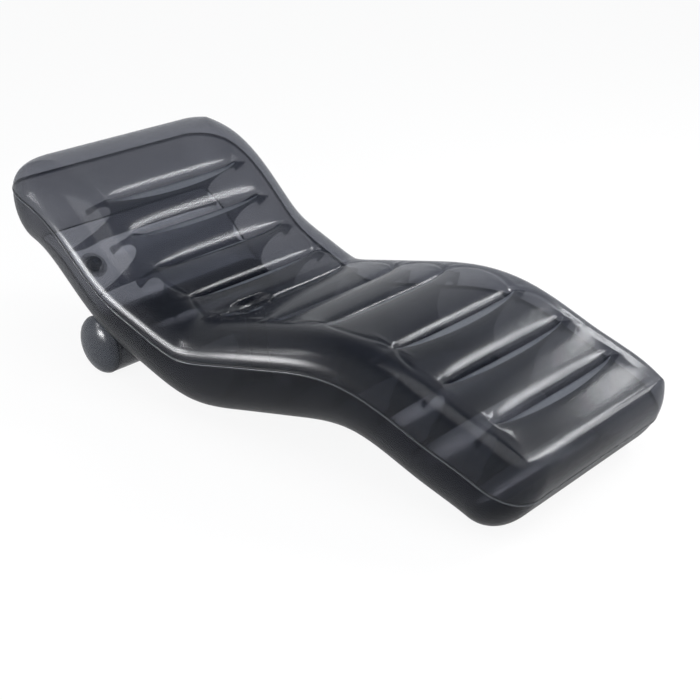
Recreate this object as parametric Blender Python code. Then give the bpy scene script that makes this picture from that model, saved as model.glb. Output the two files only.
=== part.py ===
"""Inflatable pool lounge of welded see-through film.

The body is one air chamber. A path runs under it from head to foot, and every point of the body is placed by
three values: the distance along that path, the distance across it and the height above it. Ten cross webs tie
the top sheet to the bottom sheet, so both stand up in ridges between creases. A bolster holds up the back.
+X runs from head to foot, +Y to the far side, +Z up, and the lounge stands on z = 0.
"""
import math
from dataclasses import dataclass

import bmesh
import bpy
import numpy as np
from mathutils import Matrix, Vector
from mathutils.bvhtree import BVHTree

# Main chamber
BODY_LENGTH = 1.727          # plan length of the path
HEAD_RISE = 0.402            # of the path, at the head
HEAD_WIDTH = 0.814
FOOT_WIDTH = 0.702
CORNER_RADIUS = 0.105        # plan corners
FIELD_WIDTH = 0.570          # of both sheets between the rounded sides
CREASE_LENGTH = 0.490
WEB_HEIGHT = 0.200           # web foot to web head
RIDGE_RISE = 0.027           # crest of a top ridge above its creases
UNDER_RISE = 0.022           # the same under the body
SEAM_HEIGHT = 0.129          # top seam above the web feet
SEAM_INSET = 0.087           # bottom seam inside the outline
END_RUN = 0.098              # outermost crease to where the ends start to round
TAIL_MARGIN = 0.018          # web tail tips inside the bottom seam
LAP = 0.006                  # half of a seam's lap
FILM = 0.0004
GAP = 0.0003                 # between pieces that touch
FOOT_PRESS = 0.004           # how far the foot end's lower edge is pressed flat by the floor

# The path, in shares of BODY_LENGTH along and of HEAD_RISE up; it is nearly level at the foot
PATH_SHARES = (
    (0.0000, 1.0000), (0.0889, 0.8888), (0.1887, 0.5200), (0.3061, 0.2669),
    (0.4070, 0.1348), (0.5087, 0.1852), (0.6278, 0.2955), (0.7466, 0.3460),
    (0.8644, 0.1797), (0.9502, 0.0521), (1.0000, -0.0510),
)

# Creases along the path in the top sheet and in the bottom sheet; the webs at the head lean
CREASE_SHARES = (0.104, 0.162, 0.261, 0.350, 0.470, 0.590, 0.682, 0.761, 0.827, 0.918)
LOW_CREASE_SHARES = (0.102, 0.187, 0.272, 0.350, 0.470, 0.590, 0.682, 0.761, 0.827, 0.918)
ROW_SHARES = (0.25, 0.5, 0.75)
COLUMN_SHARES = (-1.0, -0.82, -0.49, 0.0, 0.49, 0.82, 1.0)   # of half a crease
PATH_SAMPLES = 800
ROW_MERGE = 0.010            # rows nearer than this to a flat's edge are left out

# Web ends, from the crease end down to the tail: share of half a crease across, share of WEB_HEIGHT up
HOOK_SHARES = ((1.10, 1.05), (1.19, 1.00), (1.265, 0.975), (1.165, 0.79), (1.08, 0.905))
HOOK_SINK = 0.005            # of the hook below the top sheet
WEB_CUT_SHARES = ((0.98, 0.895), (0.878, 0.815), (0.80, 0.62), (0.82, 0.48), (0.90, 0.30))
TAIL_CUT_SHARES = (0.90, 0.09)   # share of half a web's foot across, share of WEB_HEIGHT up

# Drain through the seat, in the fifth crease
DRAIN_CREASE = 4
DRAIN_RADIUS = 0.030
DRAIN_ACROSS_SHARE = -0.49   # of half a crease
DRAIN_FLAT_RADIUS = 0.040    # the sheets are level out to here
DRAIN_PULL_RADIUS = 0.072    # and back to their ridges out here
DRAIN_LIP = 0.002
DRAIN_SIDES = 16

# Bolster
BOLSTER_RADIUS = 0.0874
BOLSTER_LENGTH = 0.686
DOME_DEPTH = 0.0305
BOLSTER_SIDES = 20
DOME_STEPS_DEG = (0.0, 32.0, 58.0)
STRIP_LENGTH = 0.460
STRIP_WIDTH = 0.020
BOLSTER_FLAT = 0.026         # length along the path of the flat that the strip lies on

# Main valve's place on the underside of the back
VALVE_ALONG_SHARE = 0.37     # of the way from the first web foot to the second
VALVE_ACROSS_SHARE = -0.59   # of half the width there
VALVE_FLAT = 0.092

CUT_OVERRUN = 0.010


@dataclass(frozen=True)
class ValveSizes:
    """Real sizes of one valve; its axis points out of the chamber and starts on the film's outer face."""

    hole_radius: float
    inner_flange_radius: float
    outer_flange_radius: float
    flange_thickness: float
    collar_wall: float
    collar_height: float
    insert_depth: float
    rim_width: float
    rim_thickness: float
    seat_radius: float
    seat_depth: float
    seat_taper: float
    cap_radius: float
    cap_thickness: float
    flap_radius: float
    flap_thickness: float
    strap_width: float
    strap_thickness: float
    sides: int


MAIN_VALVE = ValveSizes(
    hole_radius=0.0240, inner_flange_radius=0.0420, outer_flange_radius=0.0320, flange_thickness=0.0014,
    collar_wall=0.0042, collar_height=0.0030, insert_depth=0.0180, rim_width=0.0030, rim_thickness=0.0020,
    seat_radius=0.0115, seat_depth=0.0060, seat_taper=0.0025, cap_radius=0.0165, cap_thickness=0.0020,
    flap_radius=0.0125, flap_thickness=0.0008, strap_width=0.0080, strap_thickness=0.0012, sides=20,
)
BOLSTER_VALVE = ValveSizes(
    hole_radius=0.0100, inner_flange_radius=0.0170, outer_flange_radius=0.0150, flange_thickness=0.0010,
    collar_wall=0.0020, collar_height=0.0022, insert_depth=0.0110, rim_width=0.0016, rim_thickness=0.0014,
    seat_radius=0.0050, seat_depth=0.0042, seat_taper=0.0014, cap_radius=0.0074, cap_thickness=0.0014,
    flap_radius=0.0058, flap_thickness=0.0006, strap_width=0.0044, strap_thickness=0.0009, sides=12,
)


def clear_scene():
    """Remove every object, so that the script can be run again."""
    for item in list(bpy.data.objects):
        bpy.data.objects.remove(item, do_unlink=True)


def plain_material(name, color, roughness, metallic=0.0):
    """A Principled material of one colour."""
    material = bpy.data.materials.new(name)
    material.use_nodes = True
    shader = material.node_tree.nodes["Principled BSDF"]
    shader.inputs["Base Color"].default_value = (*color, 1.0)
    shader.inputs["Roughness"].default_value = roughness
    shader.inputs["Metallic"].default_value = metallic
    return material


SMOKE_FILM = ((0.105, 0.115, 0.125), 0.18)
SMOKE_WEB = ((0.060, 0.065, 0.080), 0.30)
SOFT_BLACK = ((0.020, 0.021, 0.024), 0.38)
CLEAR_GREY = ((0.180, 0.190, 0.200), 0.30)


def add_object(name, mesh_data, finish, smooth_deg=38.0):
    """Make the object for a bmesh, with its own material and smooth shading over gentle edges."""
    bmesh.ops.recalc_face_normals(mesh_data, faces=mesh_data.faces)
    mesh = bpy.data.meshes.new(name)
    mesh_data.to_mesh(mesh)
    mesh_data.free()
    item = bpy.data.objects.new(name, mesh)
    bpy.context.scene.collection.objects.link(item)
    mesh.materials.append(plain_material(name + "_finish", *finish))
    mesh.shade_smooth()
    mesh.set_sharp_from_angle(angle=math.radians(smooth_deg))
    return item


def smooth_curve(points, samples):
    """Points along the natural cubic spline through the given ones."""
    x, z = np.array(points).T
    run, rise = np.diff(x), np.diff(z) / np.diff(x)
    system = np.eye(len(x))
    bend = np.zeros(len(x))
    for k in range(1, len(x) - 1):
        system[k, k - 1:k + 2] = run[k - 1], 2.0 * (run[k - 1] + run[k]), run[k]
        bend[k] = 6.0 * (rise[k] - rise[k - 1])
    curve = np.linalg.solve(system, bend)
    along = np.linspace(x[0], x[-1], samples)
    k = np.clip(np.searchsorted(x, along, side="right") - 1, 0, len(x) - 2)
    back, ahead = along - x[k], x[k + 1] - along
    height = ((curve[k] * ahead**3 + curve[k + 1] * back**3) / (6.0 * run[k])
              + (z[k] / run[k] - curve[k] * run[k] / 6.0) * ahead
              + (z[k + 1] / run[k] - curve[k + 1] * run[k] / 6.0) * back)
    return along, height


class Path:
    """The line of the web feet from head to foot."""

    def __init__(self):
        along, height = smooth_curve(PATH_SHARES, PATH_SAMPLES)
        self.x = along * BODY_LENGTH
        self.z = height * HEAD_RISE
        steps = np.hypot(np.diff(self.x), np.diff(self.z))
        self.s = np.concatenate([[0.0], np.cumsum(steps)])
        self.tangent_x = np.gradient(self.x, self.s)
        self.tangent_z = np.gradient(self.z, self.s)
        self.length = float(self.s[-1])
        self.shift = 0.0

    def place(self, s, y, h):
        """World point at s along the path, y across it and h above it."""
        x = np.interp(s, self.s, self.x)
        z = np.interp(s, self.s, self.z)
        tangent_x = np.interp(s, self.s, self.tangent_x)
        tangent_z = np.interp(s, self.s, self.tangent_z)
        size = math.hypot(tangent_x, tangent_z)
        return Vector((x - tangent_z / size * h + self.shift, y, z + tangent_x / size * h))

    def normal(self, s):
        """The direction of growing height at s."""
        return (self.place(s, 0.0, WEB_HEIGHT) - self.place(s, 0.0, 0.0)).normalized()

    def flat_frame(self, s, run, y):
        """Centre, direction to the foot and outward normal of the flat under the path at s."""
        head_side = self.place(s - run / 2, y, -UNDER_RISE)
        foot_side = self.place(s + run / 2, y, -UNDER_RISE)
        direction = (foot_side - head_side).normalized()
        outward = direction.cross(Vector((0.0, -1.0, 0.0))).normalized()
        if outward.z > 0.0:
            outward = -outward
        return (head_side + foot_side) / 2, direction, outward


class Body:
    """The shape of the main chamber: heights of both sheets, the outline and the rows of its mesh."""

    def __init__(self):
        self.path = Path()
        length = self.path.length
        self.creases = [share * length for share in CREASE_SHARES]
        self.low_creases = [share * length for share in LOW_CREASE_SHARES]
        self.start = self.creases[0] - END_RUN
        self.end = self.creases[-1] + END_RUN
        self.crest = WEB_HEIGHT + RIDGE_RISE
        self.drain_s = self.creases[DRAIN_CREASE]
        self.drain_y = DRAIN_ACROSS_SHARE * CREASE_LENGTH / 2
        self.path.z -= self.foot_low() + FOOT_PRESS
        first, second = self.low_creases[:2]
        self.valve_s = first + VALVE_ALONG_SHARE * (second - first)
        self.valve_y = VALVE_ACROSS_SHARE * self.half_width(self.valve_s)
        self.bolster_s = self.find_bolster()
        self.flats = [(self.bolster_s, BOLSTER_FLAT), (self.valve_s, VALVE_FLAT)]
        self.rows = self.find_rows()
        crease_share = CREASE_LENGTH / FIELD_WIDTH
        self.shares = [-1.0, *(share * crease_share for share in COLUMN_SHARES), 1.0]
        self.columns = [share * FIELD_WIDTH / 2 for share in self.shares]
        self.corner_order = self.find_corner_order()
        outline_x = [self.skin_point(k, level).x for k in range(len(self.corner_order)) for level in LEVELS]
        self.path.shift = -(max(outline_x) + min(outline_x)) / 2

    def band_place(self, turn):
        """How far the band lies inside the outline and how high, at a turn down from the top seam."""
        return SEAM_INSET * (1.0 - math.cos(turn)), (SEAM_HEIGHT + UNDER_RISE) * (1.0 - math.sin(turn)) - UNDER_RISE

    def foot_low(self):
        """Height of the lowest edge of the foot end."""
        places = [self.band_place(turn) for part, turn in LEVELS if part == "band"]
        return min(self.path.place(self.path.length - inset, 0.0, height).z for inset, height in places)

    def bolster_centre(self, s):
        """Centre of the bolster that hangs under the path at s."""
        middle, _, outward = self.path.flat_frame(s, BOLSTER_FLAT, 0.0)
        return middle + outward * (GAP + FILM + GAP + BOLSTER_RADIUS)

    def find_bolster(self):
        """Distance along the path where the bolster both touches the underside and stands on the floor."""
        high, low = self.creases[0], self.creases[DRAIN_CREASE]
        for _ in range(60):
            middle = (high + low) / 2
            if self.bolster_centre(middle).z > BOLSTER_RADIUS:
                high = middle
            else:
                low = middle
        return (high + low) / 2

    def find_rows(self):
        """Distances along the path of the mesh rows: creases, ridge steps and the edges of the flats."""
        edges = [self.row_over(middle + side * run / 2) for middle, run in self.flats for side in (-1, 1)]
        rows = list(self.creases) + edges + [self.start]
        steps = [(self.start + self.creases[0]) / 2, (self.end + self.creases[-1]) / 2]
        for first, last in zip(self.creases, self.creases[1:]):
            steps += [first + share * (last - first) for share in ROW_SHARES]
        for step in steps:
            if all(abs(step - row) > ROW_MERGE for row in edges + [self.start]):
                rows.append(step)
        return sorted(rows)

    def bump(self, s):
        """0 at a crease, 1 on the crest between two."""
        if s <= self.creases[0]:
            t = 0.5 + 0.5 * (s - self.start) / END_RUN
        elif s >= self.creases[-1]:
            t = 0.5 * (s - self.creases[-1]) / END_RUN
        else:
            k = int(np.searchsorted(self.creases, s, side="right")) - 1
            t = (s - self.creases[k]) / (self.creases[k + 1] - self.creases[k])
        return 4.0 * t * (1.0 - t)

    def crease_fade(self, share):
        """How deep a crease is at a share of its half length: full in the middle, nothing at its end."""
        return math.sqrt(max(0.0, 1.0 - abs(share) ** 4))

    def drain_pull(self, s, y):
        """1 round the drain, where the sheets lie level, fading to 0."""
        away = math.hypot(s - self.drain_s, y - self.drain_y)
        t = (DRAIN_PULL_RADIUS - away) / (DRAIN_PULL_RADIUS - DRAIN_FLAT_RADIUS)
        t = min(max(t, 0.0), 1.0)
        return t * t * (3.0 - 2.0 * t)

    def top_height(self, s, y):
        """Height of the top sheet over its web field."""
        depth = RIDGE_RISE * self.crease_fade(y / (CREASE_LENGTH / 2))
        height = self.crest - depth * (1.0 - self.bump(s))
        return height + (WEB_HEIGHT - height) * self.drain_pull(s, y)

    def low_half(self, s):
        """Half length of the web feet at s, inside the bottom seam and its round corners."""
        over = max(0.0, abs(s - self.path.length / 2) - self.path.length / 2 + CORNER_RADIUS)
        turn_radius = CORNER_RADIUS - SEAM_INSET
        corner_loss = turn_radius - math.sqrt(max(0.0, turn_radius**2 - over**2))
        return self.half_width(s) - SEAM_INSET - corner_loss - TAIL_MARGIN

    def low_height(self, s, y):
        """Height of the bottom sheet over its web field."""
        on_flat = any(abs(s - middle) <= run / 2 + GAP for middle, run in self.flats)
        bump = 1.0 if on_flat else self.bump(self.row_over(s))
        depth = UNDER_RISE * self.crease_fade(y / self.low_half(s))
        height = depth * (1.0 - bump) - UNDER_RISE
        return height - height * self.drain_pull(s, y)

    def half_width(self, s):
        """Half of the body's width at s."""
        share = min(max(s / self.path.length, 0.0), 1.0)
        return (HEAD_WIDTH + (FOOT_WIDTH - HEAD_WIDTH) * share) / 2

    def outline(self, a, b):
        """Outline point and outward direction for a place (a, b) on the edge of the square -1..1."""
        half_length = self.path.length / 2
        straight = half_length - CORNER_RADIUS
        if abs(b) >= 1.0:
            run = abs(a) * half_length
            turn = 0.0 if run <= straight else math.radians(45) * (run - straight) / CORNER_RADIUS
            core_s = math.copysign(min(run, straight), a)
            core_y = math.copysign(self.half_width(half_length + core_s) - CORNER_RADIUS, b)
        else:
            core_s = math.copysign(straight, a)
            straight_y = self.half_width(half_length + core_s) - CORNER_RADIUS
            run = abs(b) * (straight_y + CORNER_RADIUS)
            over = max(0.0, run - straight_y)
            turn = math.radians(90) - math.radians(45) * over / CORNER_RADIUS
            core_y = math.copysign(min(run, straight_y), b)
        out_s = math.copysign(math.sin(turn), a)
        out_y = math.copysign(math.cos(turn), b) if turn < math.radians(90) else 0.0
        s = half_length + core_s + CORNER_RADIUS * out_s
        return s, core_y + CORNER_RADIUS * out_y, out_s, out_y

    def find_corner_order(self):
        """Grid places round the web field, near side first, each with its row and column."""
        last_row, last_column = len(self.rows) - 1, len(self.columns) - 1
        order = [(i, 0) for i in range(last_row)]
        order += [(last_row, j) for j in range(last_column)]
        order += [(i, last_column) for i in range(last_row, 0, -1)]
        order += [(0, j) for j in range(last_column, 0, -1)]
        return order

    def edge_place(self, k):
        """The k-th place round the web field on the square -1..1."""
        i, j = self.corner_order[k]
        a = 2.0 * (self.rows[i] - self.start) / (self.end - self.start) - 1.0
        b = self.shares[j]
        if j in (0, len(self.columns) - 1):
            return a, math.copysign(1.0, b)
        return math.copysign(1.0, a), b

    def skin_point(self, k, level):
        """Point of the rounded side: above the top seam level is the roll's angle, below it the band's."""
        i, j = self.corner_order[k]
        s, y, out_s, out_y = self.outline(*self.edge_place(k))
        part, angle = level
        if part == "roll":
            share = math.sin(angle)
            inner_s, inner_y = self.rows[i], self.columns[j]
            height = SEAM_HEIGHT + (self.crest - SEAM_HEIGHT) * math.cos(angle)
            return self.path.place(inner_s + (s - inner_s) * share, inner_y + (y - inner_y) * share, height)
        inset, height = self.band_place(angle)
        return self.path.place(s - out_s * inset, y - out_y * inset, height)

    def top_point(self, i, j):
        """Point of the top sheet at a row and a column."""
        s, y = self.rows[i], self.columns[j]
        return self.path.place(s, y, self.top_height(s, y))

    def row_stops(self):
        """Matching places in the top sheet and the bottom sheet; the end rows are drawn in behind the seam."""
        seam = SEAM_INSET + TAIL_MARGIN
        return [self.start, *self.creases, self.end], [seam, *self.low_creases, self.path.length - seam]

    def low_distance(self, row):
        """Where a row of the top sheet lies in the bottom sheet."""
        return float(np.interp(row, *self.row_stops()))

    def row_over(self, s):
        """The row that lies at s in the bottom sheet."""
        top_stops, low_stops = self.row_stops()
        return float(np.interp(s, low_stops, top_stops))

    def low_place(self, s, j):
        """Point of the bottom sheet at s along the path and a column."""
        y = self.shares[j] * self.low_half(s)
        return self.path.place(s, y, self.low_height(s, y))

    def low_point(self, i, j):
        """Point of the bottom sheet at a row and a column; rows inside a flat lie on its plane."""
        s = self.low_distance(self.rows[i])
        for middle, run in self.flats:
            share = (s - middle) / run + 0.5
            if 0.0 < share < 1.0:
                first, last = self.low_place(middle - run / 2, j), self.low_place(middle + run / 2, j)
                return first.lerp(last, share)
        return self.low_place(s, j)


# Loops round the side, from the web field of the top sheet down to that of the bottom sheet
LEVELS = (
    ("roll", math.radians(45)),
    ("roll", math.acos(LAP / (WEB_HEIGHT + RIDGE_RISE - SEAM_HEIGHT))),
    ("band", math.asin(LAP / (SEAM_HEIGHT + UNDER_RISE))),
    ("band", math.radians(45)),
    ("band", math.acos(LAP / SEAM_INSET)),
    ("band", math.radians(90)),
)
TOP_LAP_RING = 2
LOW_LAP_RING = 5


class Skin:
    """The whole outer face of the chamber as one closed mesh, from which each sheet takes its faces."""

    def __init__(self, body):
        self.body = body
        rows, columns = len(body.rows), len(body.columns)
        round_count = len(body.corner_order)
        self.mesh = bmesh.new()
        self.top = [[self.corner(body.top_point(i, j)) for j in range(columns)] for i in range(rows)]
        self.low = [[self.corner(body.low_point(i, j)) for j in range(columns)] for i in range(rows)]
        self.loops = [[self.corner(body.skin_point(k, level)) for k in range(round_count)] for level in LEVELS]
        top_edge = [self.top[i][j] for i, j in body.corner_order]
        low_edge = [self.low[i][j] for i, j in body.corner_order]
        self.top_faces = self.grid_faces(self.top)
        self.low_faces = self.grid_faces(self.low)
        chain = [top_edge, *self.loops, low_edge]
        self.rings = [self.ring_faces(first, second) for first, second in zip(chain, chain[1:])]
        bmesh.ops.recalc_face_normals(self.mesh, faces=self.mesh.faces)
        self.mesh.normal_update()

    def corner(self, place):
        """A corner of the mesh; what would lie under the floor is pressed flat on it."""
        place.z = max(place.z, 0.0)
        return self.mesh.verts.new(place)

    def split(self, a, b, c, d):
        """Two triangles for four corners, parted along the shorter diagonal."""
        if (a.co - c.co).length <= (b.co - d.co).length:
            return [self.mesh.faces.new((a, b, c)), self.mesh.faces.new((a, c, d))]
        return [self.mesh.faces.new((a, b, d)), self.mesh.faces.new((b, c, d))]

    def grid_faces(self, grid):
        """Faces of a web field."""
        return [face for i in range(len(grid) - 1) for j in range(len(grid[0]) - 1)
                for face in self.split(grid[i][j], grid[i + 1][j], grid[i + 1][j + 1], grid[i][j + 1])]

    def ring_faces(self, first, second):
        """Faces between two loops round the side."""
        count = len(first)
        return [face for k in range(count)
                for face in self.split(first[k], second[k], second[(k + 1) % count], first[(k + 1) % count])]

    def sheet(self, name, faces, depth):
        """A closed film that takes its outer face from the given faces, moved inwards by depth."""
        shell = bmesh.new()
        sides = []
        for inward in (depth, depth + FILM):
            side = {}
            for face in faces:
                for vert in face.verts:
                    if vert not in side:
                        side[vert] = shell.verts.new(vert.co - vert.normal * inward)
            sides.append(side)
        outer, inner = sides
        edge_uses = {}
        for face in faces:
            shell.faces.new([outer[vert] for vert in face.verts])
            shell.faces.new([inner[vert] for vert in reversed(face.verts)])
            for edge in face.edges:
                edge_uses[edge] = edge_uses.get(edge, 0) + 1
        for edge, uses in edge_uses.items():
            if uses == 1:
                first, second = edge.verts
                shell.faces.new((outer[first], outer[second], inner[second], inner[first]))
        return add_object(name, shell, SMOKE_FILM)


def tangent_polygon(radius, facing):
    """Corners of the polygon whose sides touch a circle of this radius and face the given angles."""
    corners = []
    for first, second in zip(facing, facing[1:] + [facing[0] + math.tau]):
        middle, half = (first + second) / 2, (second - first) / 2
        corners.append((math.cos(middle) * radius / math.cos(half), math.sin(middle) * radius / math.cos(half)))
    return corners


def turned(name, profile, sides, finish, frame):
    """Turn a profile of (radius, height) points round the frame's Z axis; it may start and end on the axis."""
    mesh_data = bmesh.new()
    rings = []
    for radius, height in profile:
        if radius <= 0.0:
            rings.append([mesh_data.verts.new((0.0, 0.0, height))])
            continue
        angles = [math.tau * k / sides for k in range(sides)]
        rings.append([mesh_data.verts.new((radius * math.cos(a), radius * math.sin(a), height)) for a in angles])
    pairs = list(zip(rings, rings[1:]))
    if profile[0][0] > 0.0:
        pairs.append((rings[-1], rings[0]))
    for first, second in pairs:
        for k in range(sides):
            corners = [first[k % len(first)], second[k % len(second)],
                       second[(k + 1) % len(second)], first[(k + 1) % len(first)]]
            unique = list(dict.fromkeys(corners))
            if len(unique) > 2:
                mesh_data.faces.new(unique)
    item = add_object(name, mesh_data, finish)
    item.matrix_world = frame
    return item


def plate(name, outline, thickness, finish, frame):
    """A flat plate: the outline lies in the frame's XY plane, half the thickness on each side."""
    mesh_data = bmesh.new()
    faces = []
    for height in (-thickness / 2, thickness / 2):
        verts = [mesh_data.verts.new((x, y, height)) for x, y in outline]
        faces.append(mesh_data.faces.new(verts))
    lower, upper = faces
    count = len(outline)
    for k in range(count):
        mesh_data.faces.new((lower.verts[k], lower.verts[(k + 1) % count],
                             upper.verts[(k + 1) % count], upper.verts[k]))
    mesh_data.normal_update()
    bmesh.ops.triangulate(mesh_data, faces=[lower, upper])
    item = add_object(name, mesh_data, finish, 20.0)
    item.matrix_world = frame
    return item


def frame_from(origin, x_axis, y_axis, z_axis):
    """Matrix of a frame with these axes."""
    frame = Matrix((x_axis, y_axis, z_axis)).transposed().to_4x4()
    frame.translation = origin
    return frame


def add_cutter(name, radius, sides, low, high, frame):
    """A hidden cylinder that cuts a hole."""
    cutter = turned(name, [(0.0, low), (radius, low), (radius, high), (0.0, high)], sides, SOFT_BLACK, frame)
    cutter.hide_render = True
    cutter.display_type = "WIRE"
    return cutter


def cut(item, cutter):
    """Take the cutter's shape out of an object."""
    modifier = item.modifiers.new("cut_" + cutter.name, "BOOLEAN")
    modifier.operation = "DIFFERENCE"
    modifier.solver = "EXACT"
    modifier.object = cutter


def web_outline(body, wall, low_s, frame, low_end, high_end):
    """Outline of a web between two places across the body, as (across, height) points; wall is the skin."""
    half, low_half = CREASE_LENGTH / 2, body.low_half(low_s)
    across, up, out = (frame.col[k].xyz for k in range(3))
    middle = frame.translation + up * WEB_HEIGHT / 2

    def room(y, direction):
        start = middle + across * (y + GAP)
        hits = [wall.ray_cast(start + out * aside, direction)[3] for aside in (-GAP, 0.0, GAP)]
        return min(hit for hit in hits if hit is not None) - FILM - GAP

    def roof(y):
        return WEB_HEIGHT / 2 + room(y, up)

    def end_cut(side):
        points = [(y * half, up_share * WEB_HEIGHT) for y, up_share in HOOK_SHARES]
        points = [(y, min(height, roof(side * y) - HOOK_SINK)) for y, height in points]
        points += [(y * half, up_share * WEB_HEIGHT) for y, up_share in WEB_CUT_SHARES]
        points.append((TAIL_CUT_SHARES[0] * low_half, TAIL_CUT_SHARES[1] * WEB_HEIGHT))
        return [(side * y, height) for y, height in points]

    def between(places, first, last):
        """The places with their middles, as far as they lie between two ends, with both ends."""
        fine = sorted([*places, *((a + b) / 2 for a, b in zip(places, places[1:]))])
        return [first, *(y for y in fine if first + LAP < y < last - LAP), last]

    whole_low, whole_high = low_end is None, high_end is None
    top = between([share * half for share in COLUMN_SHARES],
                  -half if whole_low else low_end, half if whole_high else high_end)
    foot = between([share * low_half for share in body.shares],
                   -low_half if whole_low else low_end, low_half if whole_high else high_end)
    outline = [(y, roof(y)) for y in top]
    outline += end_cut(1) if whole_high else []
    outline += [(y, WEB_HEIGHT / 2 - room(y, -up)) for y in reversed(foot)]
    outline += end_cut(-1)[::-1] if whole_low else []
    return outline


def build_web(body, wall, name, s, low_s, low_end=None, high_end=None):
    """One web, from its foot at low_s in the bottom sheet up to the crease at s in the top sheet."""
    foot = body.path.place(low_s, 0.0, 0.0)
    up = (body.path.place(s, 0.0, WEB_HEIGHT) - foot).normalized()
    across = Vector((0.0, 1.0, 0.0))
    frame = frame_from(foot, across, up, across.cross(up))
    return plate(name, web_outline(body, wall, low_s, frame, low_end, high_end), FILM, SMOKE_WEB, frame)


def build_webs(body, wall):
    """Ten webs; the one in the drain's line is in two pieces."""
    for k, (s, low_s) in enumerate(zip(body.creases, body.low_creases)):
        name = f"web_{k + 1:02d}"
        if k == DRAIN_CREASE:
            build_web(body, wall, name + "_near", s, low_s, high_end=body.drain_y - DRAIN_RADIUS)
            build_web(body, wall, name + "_far", s, low_s, low_end=body.drain_y + DRAIN_RADIUS)
        else:
            build_web(body, wall, name, s, low_s)


def build_drain(body, sheets):
    """The hole through both sheets and the film sleeve in it."""
    up = body.path.normal(body.drain_s)
    across = Vector((0.0, 1.0, 0.0))
    origin = body.path.place(body.drain_s, body.drain_y, 0.0)
    frame = frame_from(origin, across.cross(up), across, up)
    cutter = add_cutter("drain_cutter", DRAIN_RADIUS, DRAIN_SIDES, -CUT_OVERRUN, WEB_HEIGHT + CUT_OVERRUN, frame)
    for sheet in sheets:
        cut(sheet, cutter)
    outer = DRAIN_RADIUS - GAP
    inner = outer - FILM
    low, high = -DRAIN_LIP, WEB_HEIGHT + DRAIN_LIP
    turned("drain_sleeve", [(inner, low), (outer, low), (outer, high), (inner, high)], DRAIN_SIDES,
           SMOKE_WEB, frame)


def build_valve(prefix, sizes, frame):
    """A valve whose frame has its Z axis out of the chamber, with its origin on the film's outer face."""
    collar_outer = sizes.hole_radius - GAP
    collar_inner = sizes.hole_radius - sizes.collar_wall
    inner_top = -FILM - GAP
    outer_low = GAP
    outer_top = outer_low + sizes.flange_thickness
    turned(prefix + "_flange", [
        (collar_inner, inner_top - sizes.flange_thickness), (sizes.inner_flange_radius, inner_top - sizes.flange_thickness),
        (sizes.inner_flange_radius, inner_top), (collar_outer, inner_top), (collar_outer, outer_low),
        (sizes.outer_flange_radius, outer_low), (sizes.outer_flange_radius, outer_top),
        (collar_outer, outer_top), (collar_outer, sizes.collar_height), (collar_inner, sizes.collar_height),
    ], sizes.sides, CLEAR_GREY, frame)

    insert_radius = collar_inner - GAP
    rim_low = sizes.collar_height + GAP
    rim_top = rim_low + sizes.rim_thickness
    seat_low = rim_top - sizes.seat_depth
    seat_end = sizes.seat_radius - sizes.seat_taper
    turned(prefix + "_body", [
        (seat_end, -sizes.insert_depth), (insert_radius, -sizes.insert_depth), (insert_radius, rim_low),
        (insert_radius + sizes.rim_width, rim_low), (insert_radius + sizes.rim_width, rim_top),
        (sizes.seat_radius, rim_top), (seat_end, seat_low),
    ], sizes.sides, SOFT_BLACK, frame)

    flap_top = -sizes.insert_depth - GAP
    flap_hinge = Vector((-sizes.flap_radius, 0.0, flap_top))
    flap = turned(prefix + "_flap", [
        (0.0, -sizes.flap_thickness), (sizes.flap_radius, -sizes.flap_thickness), (sizes.flap_radius, 0.0), (0.0, 0.0),
    ], sizes.sides, CLEAR_GREY, Matrix.Identity(4))
    flap.data.transform(Matrix.Translation((sizes.flap_radius, 0.0, 0.0)))
    flap.matrix_world = frame @ Matrix.Translation(flap_hinge)

    cap_low = rim_top + GAP
    cap_top = cap_low + sizes.cap_thickness
    plug_top = sizes.seat_radius - GAP
    plug_end = seat_end - GAP
    plug_low = seat_low + GAP
    strap_start = sizes.cap_radius + GAP
    strap_end = sizes.outer_flange_radius
    foot_low = outer_top + GAP
    hinge = Vector((-strap_end, 0.0, foot_low))
    cap = turned(prefix + "_cap", [
        (0.0, plug_low), (plug_end, plug_low), (plug_top, cap_low), (sizes.cap_radius, cap_low),
        (sizes.cap_radius, cap_top), (0.0, cap_top),
    ], sizes.sides, SOFT_BLACK, Matrix.Identity(4))
    cap.data.transform(Matrix.Translation(-hinge))
    cap.matrix_world = frame @ Matrix.Translation(hinge)

    strap_low = cap_top - sizes.strap_thickness
    foot_width = sizes.strap_thickness * 2
    outline = [(-strap_start, strap_low), (-strap_start, cap_top), (-strap_end, cap_top), (-strap_end, foot_low),
               (-strap_end + foot_width, foot_low), (-strap_end + foot_width, strap_low)]
    upright = Matrix.Rotation(math.radians(90), 4, "X")
    strap = plate(prefix + "_strap", outline, sizes.strap_width, SOFT_BLACK, Matrix.Identity(4))
    strap.data.transform(Matrix.Translation(-hinge) @ upright)
    strap.matrix_world = frame @ Matrix.Translation(hinge)


def build_main_valve(body, bottom_sheet):
    """The main valve, on the flat between the first two creases on the underside of the back."""
    origin, direction, outward = body.path.flat_frame(body.valve_s, VALVE_FLAT, body.valve_y)
    frame = frame_from(origin, direction, outward.cross(direction), outward)
    cutter = add_cutter("valve_cutter", MAIN_VALVE.hole_radius, MAIN_VALVE.sides, -CUT_OVERRUN, CUT_OVERRUN, frame)
    cut(bottom_sheet, cutter)
    build_valve("main_valve", MAIN_VALVE, frame)


def facing_angles(contact):
    """Angles that the bolster's sides face: one straight down, one at the contact, the rest evenly between."""
    down = math.radians(-90)
    before = (contact - down) % math.tau
    count_before = max(2, round(BOLSTER_SIDES * before / math.tau))
    count_after = BOLSTER_SIDES - count_before
    angles = [down + before * k / count_before for k in range(count_before)]
    after = math.tau - before
    return angles + [down + before + after * k / count_after for k in range(count_after)]


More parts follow.
